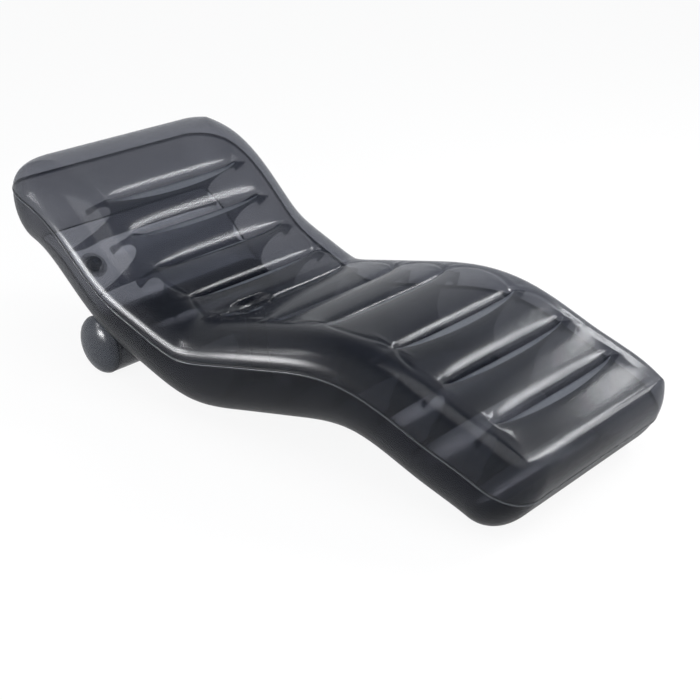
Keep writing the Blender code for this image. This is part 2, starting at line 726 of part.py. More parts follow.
def ring_shell(name, outer_rings, inner_rings, finish):
    """A closed film from matching rings of points, open or closed at each end as its last ring is."""
    mesh_data = bmesh.new()
    chain = [[mesh_data.verts.new(point) for point in ring] for ring in outer_rings + inner_rings[::-1]]
    closed = len(chain[len(outer_rings) - 1]) == 1
    links = list(zip(chain, chain[1:])) + [(chain[-1], chain[0])]
    if closed:
        del links[len(outer_rings) - 1]
    for first, second in links:
        count = max(len(first), len(second))
        for k in range(count):
            corners = [first[k % len(first)], second[k % len(second)],
                       second[(k + 1) % len(second)], first[(k + 1) % len(first)]]
            unique = list(dict.fromkeys(corners))
            if len(unique) > 2:
                mesh_data.faces.new(unique)
    return add_object(name, mesh_data, finish)


def build_bolster(body):
    """The bolster, its domed ends, its valve and the strip that welds it to the underside."""
    _, direction, outward = body.path.flat_frame(body.bolster_s, BOLSTER_FLAT, 0.0)
    centre = body.bolster_centre(body.bolster_s)
    facing = facing_angles(math.atan2(-outward.z, -outward.x))
    tube_half = BOLSTER_LENGTH / 2 - DOME_DEPTH

    def ring(radius, y):
        return [Vector((centre.x + x, y, centre.z + z)) for x, z in tangent_polygon(radius, facing)]

    ring_shell("bolster_tube", [ring(BOLSTER_RADIUS, -tube_half), ring(BOLSTER_RADIUS, tube_half)],
               [ring(BOLSTER_RADIUS - FILM, -tube_half), ring(BOLSTER_RADIUS - FILM, tube_half)], SMOKE_FILM)

    def dome(side, film, hole):
        radius, depth = BOLSTER_RADIUS - film, DOME_DEPTH - GAP - film
        base = tube_half + GAP
        rings = []
        for turn in DOME_STEPS_DEG:
            angle = math.radians(turn)
            rings.append(ring(radius * math.cos(angle), side * (base + depth * math.sin(angle))))
        top = side * (base + depth)
        if hole > 0.0:
            rings.append(ring(BOLSTER_VALVE.inner_flange_radius + BOLSTER_VALVE.collar_wall, top))
            rings.append(ring(hole, top))
        else:
            rings.append([Vector((centre.x, top, centre.z))])
        return rings

    ring_shell("bolster_end_near", dome(-1, 0.0, 0.0), dome(-1, FILM, 0.0), SMOKE_FILM)
    hole = BOLSTER_VALVE.hole_radius
    ring_shell("bolster_end_far", dome(1, 0.0, hole), dome(1, FILM, hole), SMOKE_FILM)

    far_pole = Vector((centre.x, BOLSTER_LENGTH / 2, centre.z))
    down = Vector((0.0, 0.0, -1.0))
    out = Vector((0.0, 1.0, 0.0))
    build_valve("bolster_valve", BOLSTER_VALVE, frame_from(far_pole, down, out.cross(down), out))

    strip_middle = centre - outward * (BOLSTER_RADIUS + GAP + FILM / 2)
    strip_frame = frame_from(strip_middle, direction, outward.cross(direction), outward)
    half_width, half_length = STRIP_WIDTH / 2, STRIP_LENGTH / 2
    corners = [(-half_width, -half_length), (half_width, -half_length), (half_width, half_length),
               (-half_width, half_length)]
    plate("bolster_weld_strip", corners, FILM, SMOKE_WEB, strip_frame)


def main():
    clear_scene()
    body = Body()
    skin = Skin(body)
    rings = skin.rings
    top_faces = skin.top_faces + [face for ring in rings[:TOP_LAP_RING + 1] for face in ring]
    band_faces = [face for ring in rings[TOP_LAP_RING:LOW_LAP_RING + 1] for face in ring]
    low_faces = skin.low_faces + [face for ring in rings[LOW_LAP_RING:] for face in ring]
    top_sheet = skin.sheet("top_sheet", top_faces, 0.0)
    skin.sheet("side_band", band_faces, FILM + GAP)
    bottom_sheet = skin.sheet("bottom_sheet", low_faces, 0.0)
    build_webs(body, BVHTree.FromBMesh(skin.mesh))
    skin.mesh.free()
    build_drain(body, (top_sheet, bottom_sheet))
    build_main_valve(body, bottom_sheet)
    build_bolster(body)
    bpy.context.view_layer.update()
    total = sum(len(item.data.loop_triangles) for item in bpy.data.objects if item.type == "MESH")
    print("lounge built, triangles before cuts:", total)


main()
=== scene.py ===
"""Looks of an inflatable pool lounge: a chamber of smoke-tinted film, its inner webs, a bolster and valves.

The chamber is built on the same rule as the solids. A path runs under it from head to foot, and a point of
the skin is given by the distance along the path, the distance across it and the height above it.
"""
import logging
import math
from collections.abc import Callable
from dataclasses import dataclass
from enum import Enum

import bmesh
import bpy
import numpy as np
from mathutils import Matrix, Vector
from mathutils.bvhtree import BVHTree


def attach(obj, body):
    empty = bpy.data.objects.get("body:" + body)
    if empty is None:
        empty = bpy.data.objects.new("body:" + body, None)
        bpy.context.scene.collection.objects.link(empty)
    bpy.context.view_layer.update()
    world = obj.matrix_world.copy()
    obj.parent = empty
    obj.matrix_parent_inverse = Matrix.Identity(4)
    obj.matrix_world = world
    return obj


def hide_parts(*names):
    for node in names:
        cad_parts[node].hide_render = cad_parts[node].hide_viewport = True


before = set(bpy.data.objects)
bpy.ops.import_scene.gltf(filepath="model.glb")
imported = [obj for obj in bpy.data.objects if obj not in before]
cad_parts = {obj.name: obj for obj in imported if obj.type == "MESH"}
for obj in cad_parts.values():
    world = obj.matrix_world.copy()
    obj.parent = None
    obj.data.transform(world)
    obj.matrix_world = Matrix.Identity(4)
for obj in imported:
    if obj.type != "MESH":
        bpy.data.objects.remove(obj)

LOG = logging.getLogger("lounge")
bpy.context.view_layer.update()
MM = 0.001
FILM = 0.4 * MM
GAP = 0.3 * MM
INSIDE = FILM + GAP
# A pattern in the gloss runs between these shares of a finish's roughness
LEAST_MATT = 0.85
MOST_MATT = 1.2
Places = float | np.ndarray


class Body(Enum):
    """The bodies of the frame that pieces ride on."""

    LOUNGE = "lounge"
    MAIN_CAP = "main_cap"
    MAIN_FLAP = "main_flap"
    BOLSTER_CAP = "bolster_cap"
    BOLSTER_FLAP = "bolster_flap"


class Slot(Enum):
    """The record's material slots."""

    FILM = "smoke_film"
    INNER = "inner_film"
    VALVE = "valve_vinyl"
    BLACK = "valve_black"


def linear(code: str) -> tuple[float, float, float, float]:
    """Turn an sRGB hex colour into linear values.

    Args:
        code: six hex digits.

    Returns:
        Red, green, blue and an alpha of 1.
    """
    parts = [int(code[k:k + 2], 16) / 255 for k in (0, 2, 4)]
    return (*[p / 12.92 if p <= 0.04045 else ((p + 0.055) / 1.055) ** 2.4 for p in parts], 1.0)


def add_node(tree: bpy.types.NodeTree, kind: str, inputs: dict | None = None, **settings) -> bpy.types.Node:
    """Add a node with its settings, and link or set its inputs.

    Args:
        tree: the node tree.
        kind: the node's type name.
        inputs: values or output sockets by input name or number.
        settings: attributes of the node.

    Returns:
        The new node.
    """
    node = tree.nodes.new(kind)
    for name, value in settings.items():
        setattr(node, name, value)
    for key, value in (inputs or {}).items():
        if isinstance(value, bpy.types.NodeSocket):
            tree.links.new(value, node.inputs[key])
        else:
            node.inputs[key].default_value = value
    return node


@dataclass(frozen=True)
class FilmFinish:
    """Calendered soft PVC film, tinted smoke grey: glossy, see-through and a little wavy when blown up."""

    name: str
    tint: str
    cloud: str
    passing: str
    cover: float
    edge_cover: float
    roughness: float
    gloss: float = 0.5
    ior: float = 1.54
    edge_blend: float = 0.25
    wave_mm: float = 85.0
    wave_height_mm: float = 0.16
    grain_mm: float = 6.0
    grain_height_mm: float = 0.0012

    def build(self) -> bpy.types.Material:
        """Make the material.

        Returns:
            A mix of a clear, faintly blue film and its glossy dyed face, with more of the face seen edge on.
        """
        material = bpy.data.materials.new(self.name)
        material.use_nodes = True
        tree = material.node_tree
        shader = tree.nodes["Principled BSDF"]
        place = add_node(tree, "ShaderNodeTexCoord").outputs["Object"]
        wave = add_node(tree, "ShaderNodeTexNoise", {
            "Vector": place, "Scale": 1.0 / (self.wave_mm * MM), "Detail": 1.0})
        grain = add_node(tree, "ShaderNodeTexNoise", {
            "Vector": place, "Scale": 1.0 / (self.grain_mm * MM), "Detail": 1.0})
        wide = add_node(tree, "ShaderNodeBump", {
            "Height": wave.outputs["Fac"], "Strength": 1.0, "Distance": self.wave_height_mm * MM})
        fine = add_node(tree, "ShaderNodeBump", {
            "Height": grain.outputs["Fac"], "Strength": 1.0, "Distance": self.grain_height_mm * MM,
            "Normal": wide.outputs[0]})
        tone = add_node(tree, "ShaderNodeMix", {
            "Factor": wave.outputs["Fac"], "A": linear(self.tint), "B": linear(self.cloud)}, data_type="RGBA")
        matt = add_node(tree, "ShaderNodeMapRange", {
            "Value": grain.outputs["Fac"], "To Min": self.roughness * LEAST_MATT,
            "To Max": self.roughness * MOST_MATT})
        facing = add_node(tree, "ShaderNodeLayerWeight", {"Blend": self.edge_blend})
        cover = add_node(tree, "ShaderNodeMapRange", {
            "Value": facing.outputs["Facing"], "To Min": self.cover, "To Max": self.edge_cover})
        clear = add_node(tree, "ShaderNodeBsdfTransparent", {"Color": linear(self.passing)})
        both = add_node(tree, "ShaderNodeMixShader", {
            0: cover.outputs["Result"], 1: clear.outputs[0], 2: shader.outputs[0]})
        tree.links.new(both.outputs[0], tree.nodes["Material Output"].inputs["Surface"])
        tree.links.new(tone.outputs["Result"], shader.inputs["Base Color"])
        tree.links.new(matt.outputs["Result"], shader.inputs["Roughness"])
        tree.links.new(fine.outputs["Normal"], shader.inputs["Normal"])
        shader.inputs["IOR"].default_value = self.ior
        shader.inputs["Specular IOR Level"].default_value = self.gloss
        return material


@dataclass(frozen=True)
class VinylFinish:
    """Injection-moulded soft vinyl, as valves are: smooth, a little waxy, with a faint mould grain."""

    name: str
    tint: str
    cloud: str
    roughness: float
    alpha: float = 1.0
    ior: float = 1.50
    grain_mm: float = 0.8
    grain_height_mm: float = 0.02

    def build(self) -> bpy.types.Material:
        """Make the material.

        Returns:
            A Principled material with a grain in colour, gloss and height.
        """
        material = bpy.data.materials.new(self.name)
        material.use_nodes = True
        tree = material.node_tree
        shader = tree.nodes["Principled BSDF"]
        place = add_node(tree, "ShaderNodeTexCoord").outputs["Object"]
        grain = add_node(tree, "ShaderNodeTexNoise", {
            "Vector": place, "Scale": 1.0 / (self.grain_mm * MM), "Detail": 3.0})
        tone = add_node(tree, "ShaderNodeMix", {
            "Factor": grain.outputs["Fac"], "A": linear(self.tint), "B": linear(self.cloud)},
            data_type="RGBA")
        matt = add_node(tree, "ShaderNodeMapRange", {
            "Value": grain.outputs["Fac"], "To Min": self.roughness * LEAST_MATT,
            "To Max": self.roughness * MOST_MATT})
        rise = add_node(tree, "ShaderNodeBump", {
            "Height": grain.outputs["Fac"], "Strength": 1.0, "Distance": self.grain_height_mm * MM})
        tree.links.new(tone.outputs["Result"], shader.inputs["Base Color"])
        tree.links.new(matt.outputs["Result"], shader.inputs["Roughness"])
        tree.links.new(rise.outputs["Normal"], shader.inputs["Normal"])
        shader.inputs["IOR"].default_value = self.ior
        shader.inputs["Alpha"].default_value = self.alpha
        return material


# Two faces of a film let about a third of the light through, a little more of the blue; the tint is what the
# dark dye sends back
OUTER_FILM = FilmFinish("pvc_film_smoke", "16191F", "1B1F27", "FAFBFF", cover=0.34, edge_cover=0.60,
                        roughness=0.19, gloss=0.42)
# The band has its matt face outside, and is made denser and darker than the top film: painted shade for the
# shadowed side
SHADED_BAND_FILM = FilmFinish("pvc_film_band_painted_shade", "13161B", "181B22", "FAFBFF", cover=0.48, edge_cover=0.76,
                       roughness=0.34, gloss=0.2)
# The drain's tube is two films thick; its near-black, nearly opaque colour is painted shade for the dark
# inside of the hole
SHADED_DRAIN_FILM = FilmFinish("pvc_film_drain_painted_shade", "08090C", "0B0C10", "FAFBFF", cover=0.92, edge_cover=0.98,
                        roughness=0.55, gloss=0.05)
# Films inside the chamber are matt from their release powder
WEB_FILM = FilmFinish("pvc_film_web", "15171D", "1A1D24", "F7F9FF", cover=0.40, edge_cover=0.62,
                      roughness=0.45, gloss=0.2)
# The bolster is a lighter grey film than the chamber
BOLSTER_FILM = FilmFinish("pvc_film_bolster", "33373D", "3E424A", "FAFBFF", cover=0.48, edge_cover=0.75,
                          roughness=0.20)
# A weld is two films melted into one, so it is denser, and its glossy edge catches the light; the top seam's
# bead is also painted a lighter grey than the film, a painted highlight along the seam
PAINTED_HIGHLIGHT_WELD = FilmFinish("pvc_weld_painted_highlight", "4A4E55", "575C64", "FFFFFF", cover=0.70, edge_cover=0.90,
                  roughness=0.22, gloss=1.0, wave_mm=9.0, wave_height_mm=0.1)
# Above the top seam's light bead, a dark bead is a painted shadow; the same dense, dark film makes the dark
# welds of the bottom seam and of the bolster's ends
DARK_WELD_AND_SHADOW = FilmFinish("pvc_weld_dark_and_shadow", "121418", "181A1F", "FFFFFF", cover=0.72, edge_cover=0.90,
                       roughness=0.30, wave_mm=9.0, wave_height_mm=0.1)
# The flange of a web is painted near white: a painted reflection that makes the light leaf below each crease
SHEEN_FLANGE_FILM = FilmFinish("pvc_film_flange_painted_sheen", "CDD2D3", "D6DADB", "FFFFFF", cover=0.96, edge_cover=1.00,
                         roughness=0.50, gloss=0.2)
# Valves are soft vinyl: the welded parts are a clear grey, the plug-in body is smoke and the cap is black
CLEAR_VINYL = VinylFinish("soft_vinyl_grey", "3A3D43", "464A50", roughness=0.35, alpha=0.35)
SMOKE_VINYL = VinylFinish("soft_vinyl_smoke", "0D0E11", "131418", roughness=0.35)
BLACK_VINYL = VinylFinish("soft_vinyl_black", "0E0F11", "151619", roughness=0.40)


@dataclass(frozen=True)
class ChamberSizes:
    """Sizes of the main chamber, in metres, as in the solids, but with a tighter flat round the drain."""

    body_length: float = 1.727
    head_rise: float = 0.402
    head_width: float = 0.814
    foot_width: float = 0.702
    corner_radius: float = 0.105
    field_half: float = 0.285
    crease_half: float = 0.245
    web_height: float = 0.200
    ridge_rise: float = 0.027
    under_rise: float = 0.022
    seam_height: float = 0.129
    seam_inset: float = 0.087
    end_run: float = 0.098
    tail_margin: float = 0.018
    lap: float = 0.006
    foot_press: float = 0.004
    bolster_flat: float = 0.026
    valve_flat_radius: float = 0.048
    path_head: float = -0.90234
    drain_radius: float = 0.030
    drain_flat_radius: float = 0.034
    drain_pull_radius: float = 0.092
    drain_across: float = -0.12005
    drain_crease: int = 4
    valve_along_share: float = 0.37
    valve_across_share: float = -0.59
    valve_hole_radius: float = 0.024
    path_shares: tuple = (
        (0.0000, 1.0000), (0.0889, 0.8888), (0.1887, 0.5200), (0.3061, 0.2669), (0.4070, 0.1348),
        (0.5087, 0.1852), (0.6278, 0.2955), (0.7466, 0.3460), (0.8644, 0.1797), (0.9502, 0.0521),
        (1.0000, -0.0510))
    crease_shares: tuple = (0.104, 0.162, 0.261, 0.350, 0.470, 0.590, 0.682, 0.761, 0.827, 0.918)
    low_crease_shares: tuple = (0.102, 0.187, 0.272, 0.350, 0.470, 0.590, 0.682, 0.761, 0.827, 0.918)


@dataclass(frozen=True)
class BolsterSizes:
    """Sizes of the bolster, in metres."""

    radius: float = 0.0874
    length: float = 0.686
    dome_depth: float = 0.0305
    strip_length: float = 0.460
    strip_width: float = 0.020
    sides: int = 96


def smoothstep(low: float, high: float, value: np.ndarray) -> np.ndarray:
    """0 below low, 1 above high, with a smooth rise between."""
    t = np.clip((value - low) / (high - low), 0.0, 1.0)
    return t * t * (3.0 - 2.0 * t)


def natural_spline(points: tuple, samples: int) -> tuple[np.ndarray, np.ndarray]:
    """Sample the natural cubic spline through the given points.

    Args:
        points: (along, height) pairs.
        samples: how many places to sample.

    Returns:
        The places along, and the heights there.
    """
    x, z = np.array(points).T
    run, rise = np.diff(x), np.diff(z) / np.diff(x)
    system, bend = np.eye(len(x)), np.zeros(len(x))
    for k in range(1, len(x) - 1):
        system[k, k - 1:k + 2] = run[k - 1], 2.0 * (run[k - 1] + run[k]), run[k]
        bend[k] = 6.0 * (rise[k] - rise[k - 1])
    curve = np.linalg.solve(system, bend)
    along = np.linspace(x[0], x[-1], samples)
    k = np.clip(np.searchsorted(x, along, side="right") - 1, 0, len(x) - 2)
    back, ahead = along - x[k], x[k + 1] - along
    height = ((curve[k] * ahead**3 + curve[k + 1] * back**3) / (6.0 * run[k])
              + (z[k] / run[k] - curve[k] * run[k] / 6.0) * ahead
              + (z[k + 1] / run[k] - curve[k + 1] * run[k] / 6.0) * back)
    return along, height


def round_curve(points: list, steps: int) -> list:
    """Points on the Catmull-Rom curve through the given ones.

    Args:
        points: two or more points.
        steps: new points for each stretch.

    Returns:
        The curve's points, with both ends.
    """
    knots = [np.array(p, float) for p in points]
    knots = [2 * knots[0] - knots[1], *knots, 2 * knots[-1] - knots[-2]]
    curve = []
    for a, b, c, d in zip(knots, knots[1:], knots[2:], knots[3:]):
        for t in np.linspace(0.0, 1.0, steps, endpoint=False):
            curve.append(0.5 * (2 * b + (c - a) * t + (2 * a - 5 * b + 4 * c - d) * t**2
                                + (3 * b - a - 3 * c + d) * t**3))
    return [tuple(p) for p in curve] + [tuple(knots[-2])]


class Chamber:
    """The rule of the main chamber's shape, for arrays of places."""

    samples = 1600
    row_step = 0.0060
    eased_share = 0.55
    arc_share = 0.50
    valley_run = 0.0075
    pinch_depth = 0.006
    pinch_run = 0.005
    lip_depth = 0.0022
    lip_run = 0.0055
    lip_reach = 0.021
    strip_blend = 0.022
    valve_blend = 0.038
    seat_creases = (3, 7)
    seat_scallop = 0.0052
    other_scallop = 0.0005
    scallop_bow = 0.13
    scallop_run = 0.0065
    scallop_reach = 0.060
    seat_pucker = 0.0016
    other_pucker = 0.0004
    pucker_reach = 0.022
    pucker_run = 0.017
    pucker_folds = 6.0

    def __init__(self, sizes: ChamberSizes, bolster: BolsterSizes) -> None:
        """Set up the path, the creases and the places of drain, valve and bolster.

        Args:
            sizes: the chamber's sizes.
            bolster: the bolster's sizes.
        """
        self.sizes = sizes
        self.bolster = bolster
        along, height = natural_spline(sizes.path_shares, self.samples)
        self.x = along * sizes.body_length
        self.z = height * sizes.head_rise
        steps = np.hypot(np.diff(self.x), np.diff(self.z))
        self.s = np.concatenate([[0.0], np.cumsum(steps)])
        self.tangent_x = np.gradient(self.x, self.s)
        self.tangent_z = np.gradient(self.z, self.s)
        self.length = float(self.s[-1])
        self.creases = np.array(sizes.crease_shares) * self.length
        self.low_creases = np.array(sizes.low_crease_shares) * self.length
        self.start = self.creases[0] - sizes.end_run
        self.end = self.creases[-1] + sizes.end_run
        self.crest = sizes.web_height + sizes.ridge_rise
        self.drain_s = self.creases[sizes.drain_crease]
        self.drain_y = sizes.drain_across
        self.shift = sizes.path_head
        self.z -= self.foot_low() + sizes.foot_press
        first, second = self.low_creases[:2]
        self.valve_s = first + sizes.valve_along_share * (second - first)
        self.valve_y = sizes.valve_across_share * float(self.half_width(self.valve_s))
        self.bolster_s = self.find_bolster()

    def place(self, s: Places, y: Places, h: Places) -> np.ndarray:
        """World points on the body.

        Args:
            s: distances along the path.
            y: distances across it.
            h: heights above it.

        Returns:
            The points, with x, y and z last.
        """
        s, y, h = np.broadcast_arrays(*(np.asarray(v, float) for v in (s, y, h)))
        x = np.interp(s, self.s, self.x)
        z = np.interp(s, self.s, self.z)
        tangent_x = np.interp(s, self.s, self.tangent_x)
        tangent_z = np.interp(s, self.s, self.tangent_z)
        size = np.hypot(tangent_x, tangent_z)
        return np.stack([x - tangent_z / size * h + self.shift, y, z + tangent_x / size * h], -1)

    def band_place(self, turn: float) -> tuple[float, float]:
        """Where the band runs at a turn down from the top seam.

        Args:
            turn: the turn in radians.

        Returns:
            Inset from the outline, and height.
        """
        sizes = self.sizes
        inset = sizes.seam_inset * (1.0 - np.cos(turn))
        return inset, (sizes.seam_height + sizes.under_rise) * (1.0 - np.sin(turn)) - sizes.under_rise

    def foot_low(self) -> float:
        """Height of the lowest edge of the foot end, at the same turns as in the solids."""
        sizes = self.sizes
        first = math.asin(sizes.lap / (sizes.seam_height + sizes.under_rise))
        last = math.acos(sizes.lap / sizes.seam_inset)
        turns = (first, math.radians(45), last, math.radians(90))
        return min(float(self.place(self.length - inset, 0.0, height)[2])
                   for inset, height in map(self.band_place, turns))

    def flat_frame(self, s: float, run: float, y: float) -> tuple[Vector, Vector, Vector]:
        """The flat under the path at s.

        Args:
            s: distance along the path.
            run: length of the flat.
            y: distance across the path.

        Returns:
            Centre, direction to the foot and outward normal.
        """
        head_side = Vector(self.place(s - run / 2, y, -self.sizes.under_rise))
        foot_side = Vector(self.place(s + run / 2, y, -self.sizes.under_rise))
        direction = (foot_side - head_side).normalized()
        outward = direction.cross(Vector((0.0, -1.0, 0.0))).normalized()
        if outward.z > 0.0:
            outward = -outward
        return (head_side + foot_side) / 2, direction, outward

    def bolster_centre(self, s: float) -> Vector:
        """Centre of a bolster that hangs under the path at s."""
        middle, _, outward = self.flat_frame(s, self.sizes.bolster_flat, 0.0)
        return middle + outward * (GAP + FILM + GAP + self.bolster.radius)

    def find_bolster(self) -> float:
        """Find where the bolster both touches the underside and stands on the floor.

        Returns:
            Its distance along the path.
        """
        high, low = self.creases[0], self.creases[self.sizes.drain_crease]
        for _ in range(60):
            middle = (high + low) / 2
            if self.bolster_centre(middle).z > self.bolster.radius:
                high = middle
            else:
                low = middle
        return (high + low) / 2

    def half_width(self, s: Places) -> Places:
        """Half of the body's width at s."""
        share = np.clip(s / self.length, 0.0, 1.0)
        return (self.sizes.head_width + (self.sizes.foot_width - self.sizes.head_width) * share) / 2

    def ridge_share(self, s: np.ndarray) -> tuple[np.ndarray, np.ndarray, np.ndarray]:
        """How high a ridge stands at s, and where the next crease is.

        Args:
            s: distances along the path, in the measure of the top creases.

        Returns:
            0 at a crease to 1 on a crest, the signed distance to the nearest crease, and its number.
        """
        creases = self.creases
        k = np.clip(np.searchsorted(creases, s, side="right") - 1, 0, len(creases) - 2)
        t = (s - creases[k]) / (creases[k + 1] - creases[k])
        t = np.where(s < creases[0], np.maximum(0.5 + 0.5 * (s - self.start) / self.sizes.end_run, 0.5), t)
        t = np.where(s > creases[-1], np.minimum(0.5 * (s - creases[-1]) / self.sizes.end_run, 0.5), t)
        runs = s[..., None] - creases
        near = np.argmin(np.abs(runs), axis=-1)
        run = np.take_along_axis(runs, near[..., None], -1)[..., 0]
        return 1.0 - (2.0 * t - 1.0) ** 2, run, near

    def drain_pull(self, s: Places, y: Places) -> np.ndarray:
        """1 round the drain, where the sheets lie level, fading to 0."""
        away = np.hypot(s - self.drain_s, y - self.drain_y)
        return 1.0 - smoothstep(self.sizes.drain_flat_radius, self.sizes.drain_pull_radius, away)

    def top_dip(self, s: np.ndarray, y: np.ndarray) -> np.ndarray:
        """How far the top sheet is drawn in below its crest, with its arches, valleys and small folds.

        Args:
            s: distances along the path.
            y: distances across it.

        Returns:
            The depths.
        """
        sizes = self.sizes
        ridge, run, near = self.ridge_share(s)
        away = np.abs(run)
        across = np.abs(y) / sizes.crease_half
        valley = np.maximum(0.0, 1.0 - (across / 1.05) ** 3.5) ** 0.7
        steep = np.exp(-away / self.valley_run)
        dip = sizes.ridge_rise * valley * (self.arc_share * (1.0 - ridge) + (1.0 - self.arc_share) * steep)
        pinch = 1.0 - smoothstep(0.86, 1.03, across)
        dip = dip + self.pinch_depth * np.exp(-away / self.pinch_run) * pinch
        return dip + self.lip(run, across) + self.scallops(ridge, y, near, away) + self.puckers(s, y)

    def lip(self, run: np.ndarray, across: np.ndarray) -> np.ndarray:
        """The curved fold just below each crease, where the sheet lies on the weld's flange.

        Args:
            run: signed distances to the crease.
            across: shares of half a crease's length.

        Returns:
            The fold's depths.
        """
        reach = self.lip_reach * np.maximum(0.0, 1.0 - across**2)
        fade = 1.0 - smoothstep(0.88, 1.0, across)
        return self.lip_depth * np.exp(-((run - reach) / self.lip_run) ** 2) * fade

    def scallops(self, ridge: np.ndarray, y: np.ndarray, near: np.ndarray, away: np.ndarray) -> np.ndarray:
        """Round folds from crease end to crease end, deep in the hollow of the seat and faint elsewhere.

        Args:
            ridge: 0 at a crease to 1 on a crest.
            y: distances across the path.
            near: numbers of the nearest creases.
            away: distances to them.

        Returns:
            The folds' depths.
        """
        first, last = self.seat_creases
        depth = np.where((near >= first) & (near <= last), self.seat_scallop, self.other_scallop)
        middle = self.sizes.crease_half * (1.0 + self.scallop_bow * ridge)
        fold = np.exp(-((np.abs(y) - middle) / self.scallop_run) ** 2)
        return depth * fold * np.exp(-away / self.scallop_reach)

    def puckers(self, s: np.ndarray, y: np.ndarray) -> np.ndarray:
        """Small folds that fan out from each crease end, strongest in the hollow of the seat.

        Args:
            s: distances along the path.
            y: distances across it.

        Returns:
            The folds' depths.
        """
        total = np.zeros_like(s)
        first, last = self.seat_creases
        for k, crease in enumerate(self.creases):
            run, out = s - crease, np.abs(y) - self.sizes.crease_half
            away = np.hypot(run, out)
            turn = np.arctan2(run, out + 0.004)
            height = self.seat_pucker if first <= k <= last else self.other_pucker
            outward = 0.5 + 0.5 * np.cos(turn)
            ring = np.exp(-((away - self.pucker_reach) / self.pucker_run) ** 2) * outward
            total += height * ring * np.cos(turn * self.pucker_folds + 0.9 * k)
        return total

    def top_height(self, s: np.ndarray, y: np.ndarray) -> np.ndarray:
        """Height of the top sheet over its web field."""
        height = self.crest - self.top_dip(s, y)
        return height + (self.sizes.web_height - height) * self.drain_pull(s, y)

    def low_distance(self, s: np.ndarray) -> np.ndarray:
        """Where rows of the top sheet lie in the bottom sheet.

        Args:
            s: the rows' distances along the path.

        Returns:
            Their distances along the path in the bottom sheet.
        """
        seam = self.sizes.seam_inset + self.sizes.tail_margin
        knots = [self.start, *self.creases, self.end]
        return np.interp(s, knots, [seam, *self.low_creases, self.length - seam])

    def low_half(self, s: np.ndarray) -> np.ndarray:
        """Half length of the web feet, inside the bottom seam and its round corners.

        Args:
            s: distances along the path.

        Returns:
            The half lengths.
        """
        sizes = self.sizes
        over = np.maximum(0.0, np.abs(s - self.length / 2) - self.length / 2 + sizes.corner_radius)
        turn_radius = sizes.corner_radius - sizes.seam_inset
        corner_loss = turn_radius - np.sqrt(np.maximum(0.0, turn_radius**2 - over**2))
        return self.half_width(s) - sizes.seam_inset - corner_loss - sizes.tail_margin

    def low_height(self, row: np.ndarray, s: np.ndarray, y: np.ndarray) -> np.ndarray:
        """Height of the bottom sheet over its web field.

        Args:
            row: the places in the measure of the top creases.
            s: their distances along the path.
            y: their distances across it.

        Returns:
            The heights.
        """
        sizes = self.sizes
        ridge = self.ridge_share(row)[0]
        fade = np.sqrt(np.maximum(0.0, 1.0 - (np.abs(y) / self.low_half(s)) ** 4))
        height = sizes.under_rise * (1.0 - ridge) * fade - sizes.under_rise
        strip = np.abs(s - self.bolster_s) - sizes.bolster_flat / 2
        flat = 1.0 - smoothstep(0.0, self.strip_blend, strip)
        near = np.hypot(s - self.valve_s, y - self.valve_y) - sizes.valve_flat_radius
        flat = np.maximum(flat, 1.0 - smoothstep(0.0, self.valve_blend, near))
        height = height + (-sizes.under_rise - height) * flat
        return height - height * self.drain_pull(s, y)

    def flatten(self, points: np.ndarray, s: np.ndarray, y: np.ndarray) -> np.ndarray:
        """Draw points of the bottom sheet onto the planes of the bolster's and the valve's flats.

        Args:
            points: the points.
            s: their distances along the path.
            y: their distances across it.

        Returns:
            The points, moved where they lie in a flat.
        """
        sizes = self.sizes
        spots = (
            (self.bolster_s, sizes.bolster_flat, self.strip_blend,
             np.abs(s - self.bolster_s) - sizes.bolster_flat / 2),
            (self.valve_s, sizes.valve_flat_radius * 2, self.valve_blend,
             np.hypot(s - self.valve_s, y - self.valve_y) - sizes.valve_flat_radius),
        )
        for middle, run, blend, away in spots:
            share = 1.0 - smoothstep(0.0, blend, away)
            origin, _, outward = self.flat_frame(middle, run, 0.0)
            depth = (points - np.array(origin)) @ np.array(outward)
            points = points - (depth * share)[..., None] * np.array(outward)
        return points

    def outline(self, a: np.ndarray, b: np.ndarray) -> tuple:
        """The outline for places on the edge of the square -1..1.

        Args:
            a: places along.
            b: places across.

        Returns:
            Distance along the path, distance across, and both parts of the outward direction.
        """
        sizes = self.sizes
        half = self.length / 2
        straight = half - sizes.corner_radius
        side = np.abs(b) >= 1.0
        run = np.abs(a) * half
        turn_side = np.where(run <= straight, 0.0, math.radians(45) * (run - straight) / sizes.corner_radius)
        core_s_side = np.copysign(np.minimum(run, straight), a)
        core_y_side = self.half_width(half + core_s_side) - sizes.corner_radius
        core_s_end = np.copysign(straight, a)
        straight_y = self.half_width(half + core_s_end) - sizes.corner_radius
        run_y = np.abs(b) * (straight_y + sizes.corner_radius)
        past = np.maximum(0.0, run_y - straight_y)
        turn_end = math.radians(90) - math.radians(45) * past / sizes.corner_radius
        turn = np.where(side, turn_side, turn_end)
        core_s = np.where(side, core_s_side, core_s_end)
        core_y = np.where(side, core_y_side, np.minimum(run_y, straight_y))
        out_s, out_y = np.copysign(np.sin(turn), a), np.copysign(np.cos(turn), b)
        return (half + core_s + sizes.corner_radius * out_s,
                np.copysign(core_y, b) + sizes.corner_radius * out_y, out_s, out_y)

    def find_rows(self) -> np.ndarray:
        """Rows of the mesh, closer together at the creases."""
        stops = [self.start, *self.creases, self.end]
        rows = [self.start]
        for first, last in zip(stops, stops[1:]):
            count = max(6, round((last - first) / self.row_step))
            share = np.linspace(0.0, 1.0, count + 1)[1:]
            eased = 0.5 - 0.5 * np.cos(math.pi * share)
            spread = self.eased_share * eased + (1.0 - self.eased_share) * share
            rows.extend(first + (last - first) * spread)
        return np.array(rows)


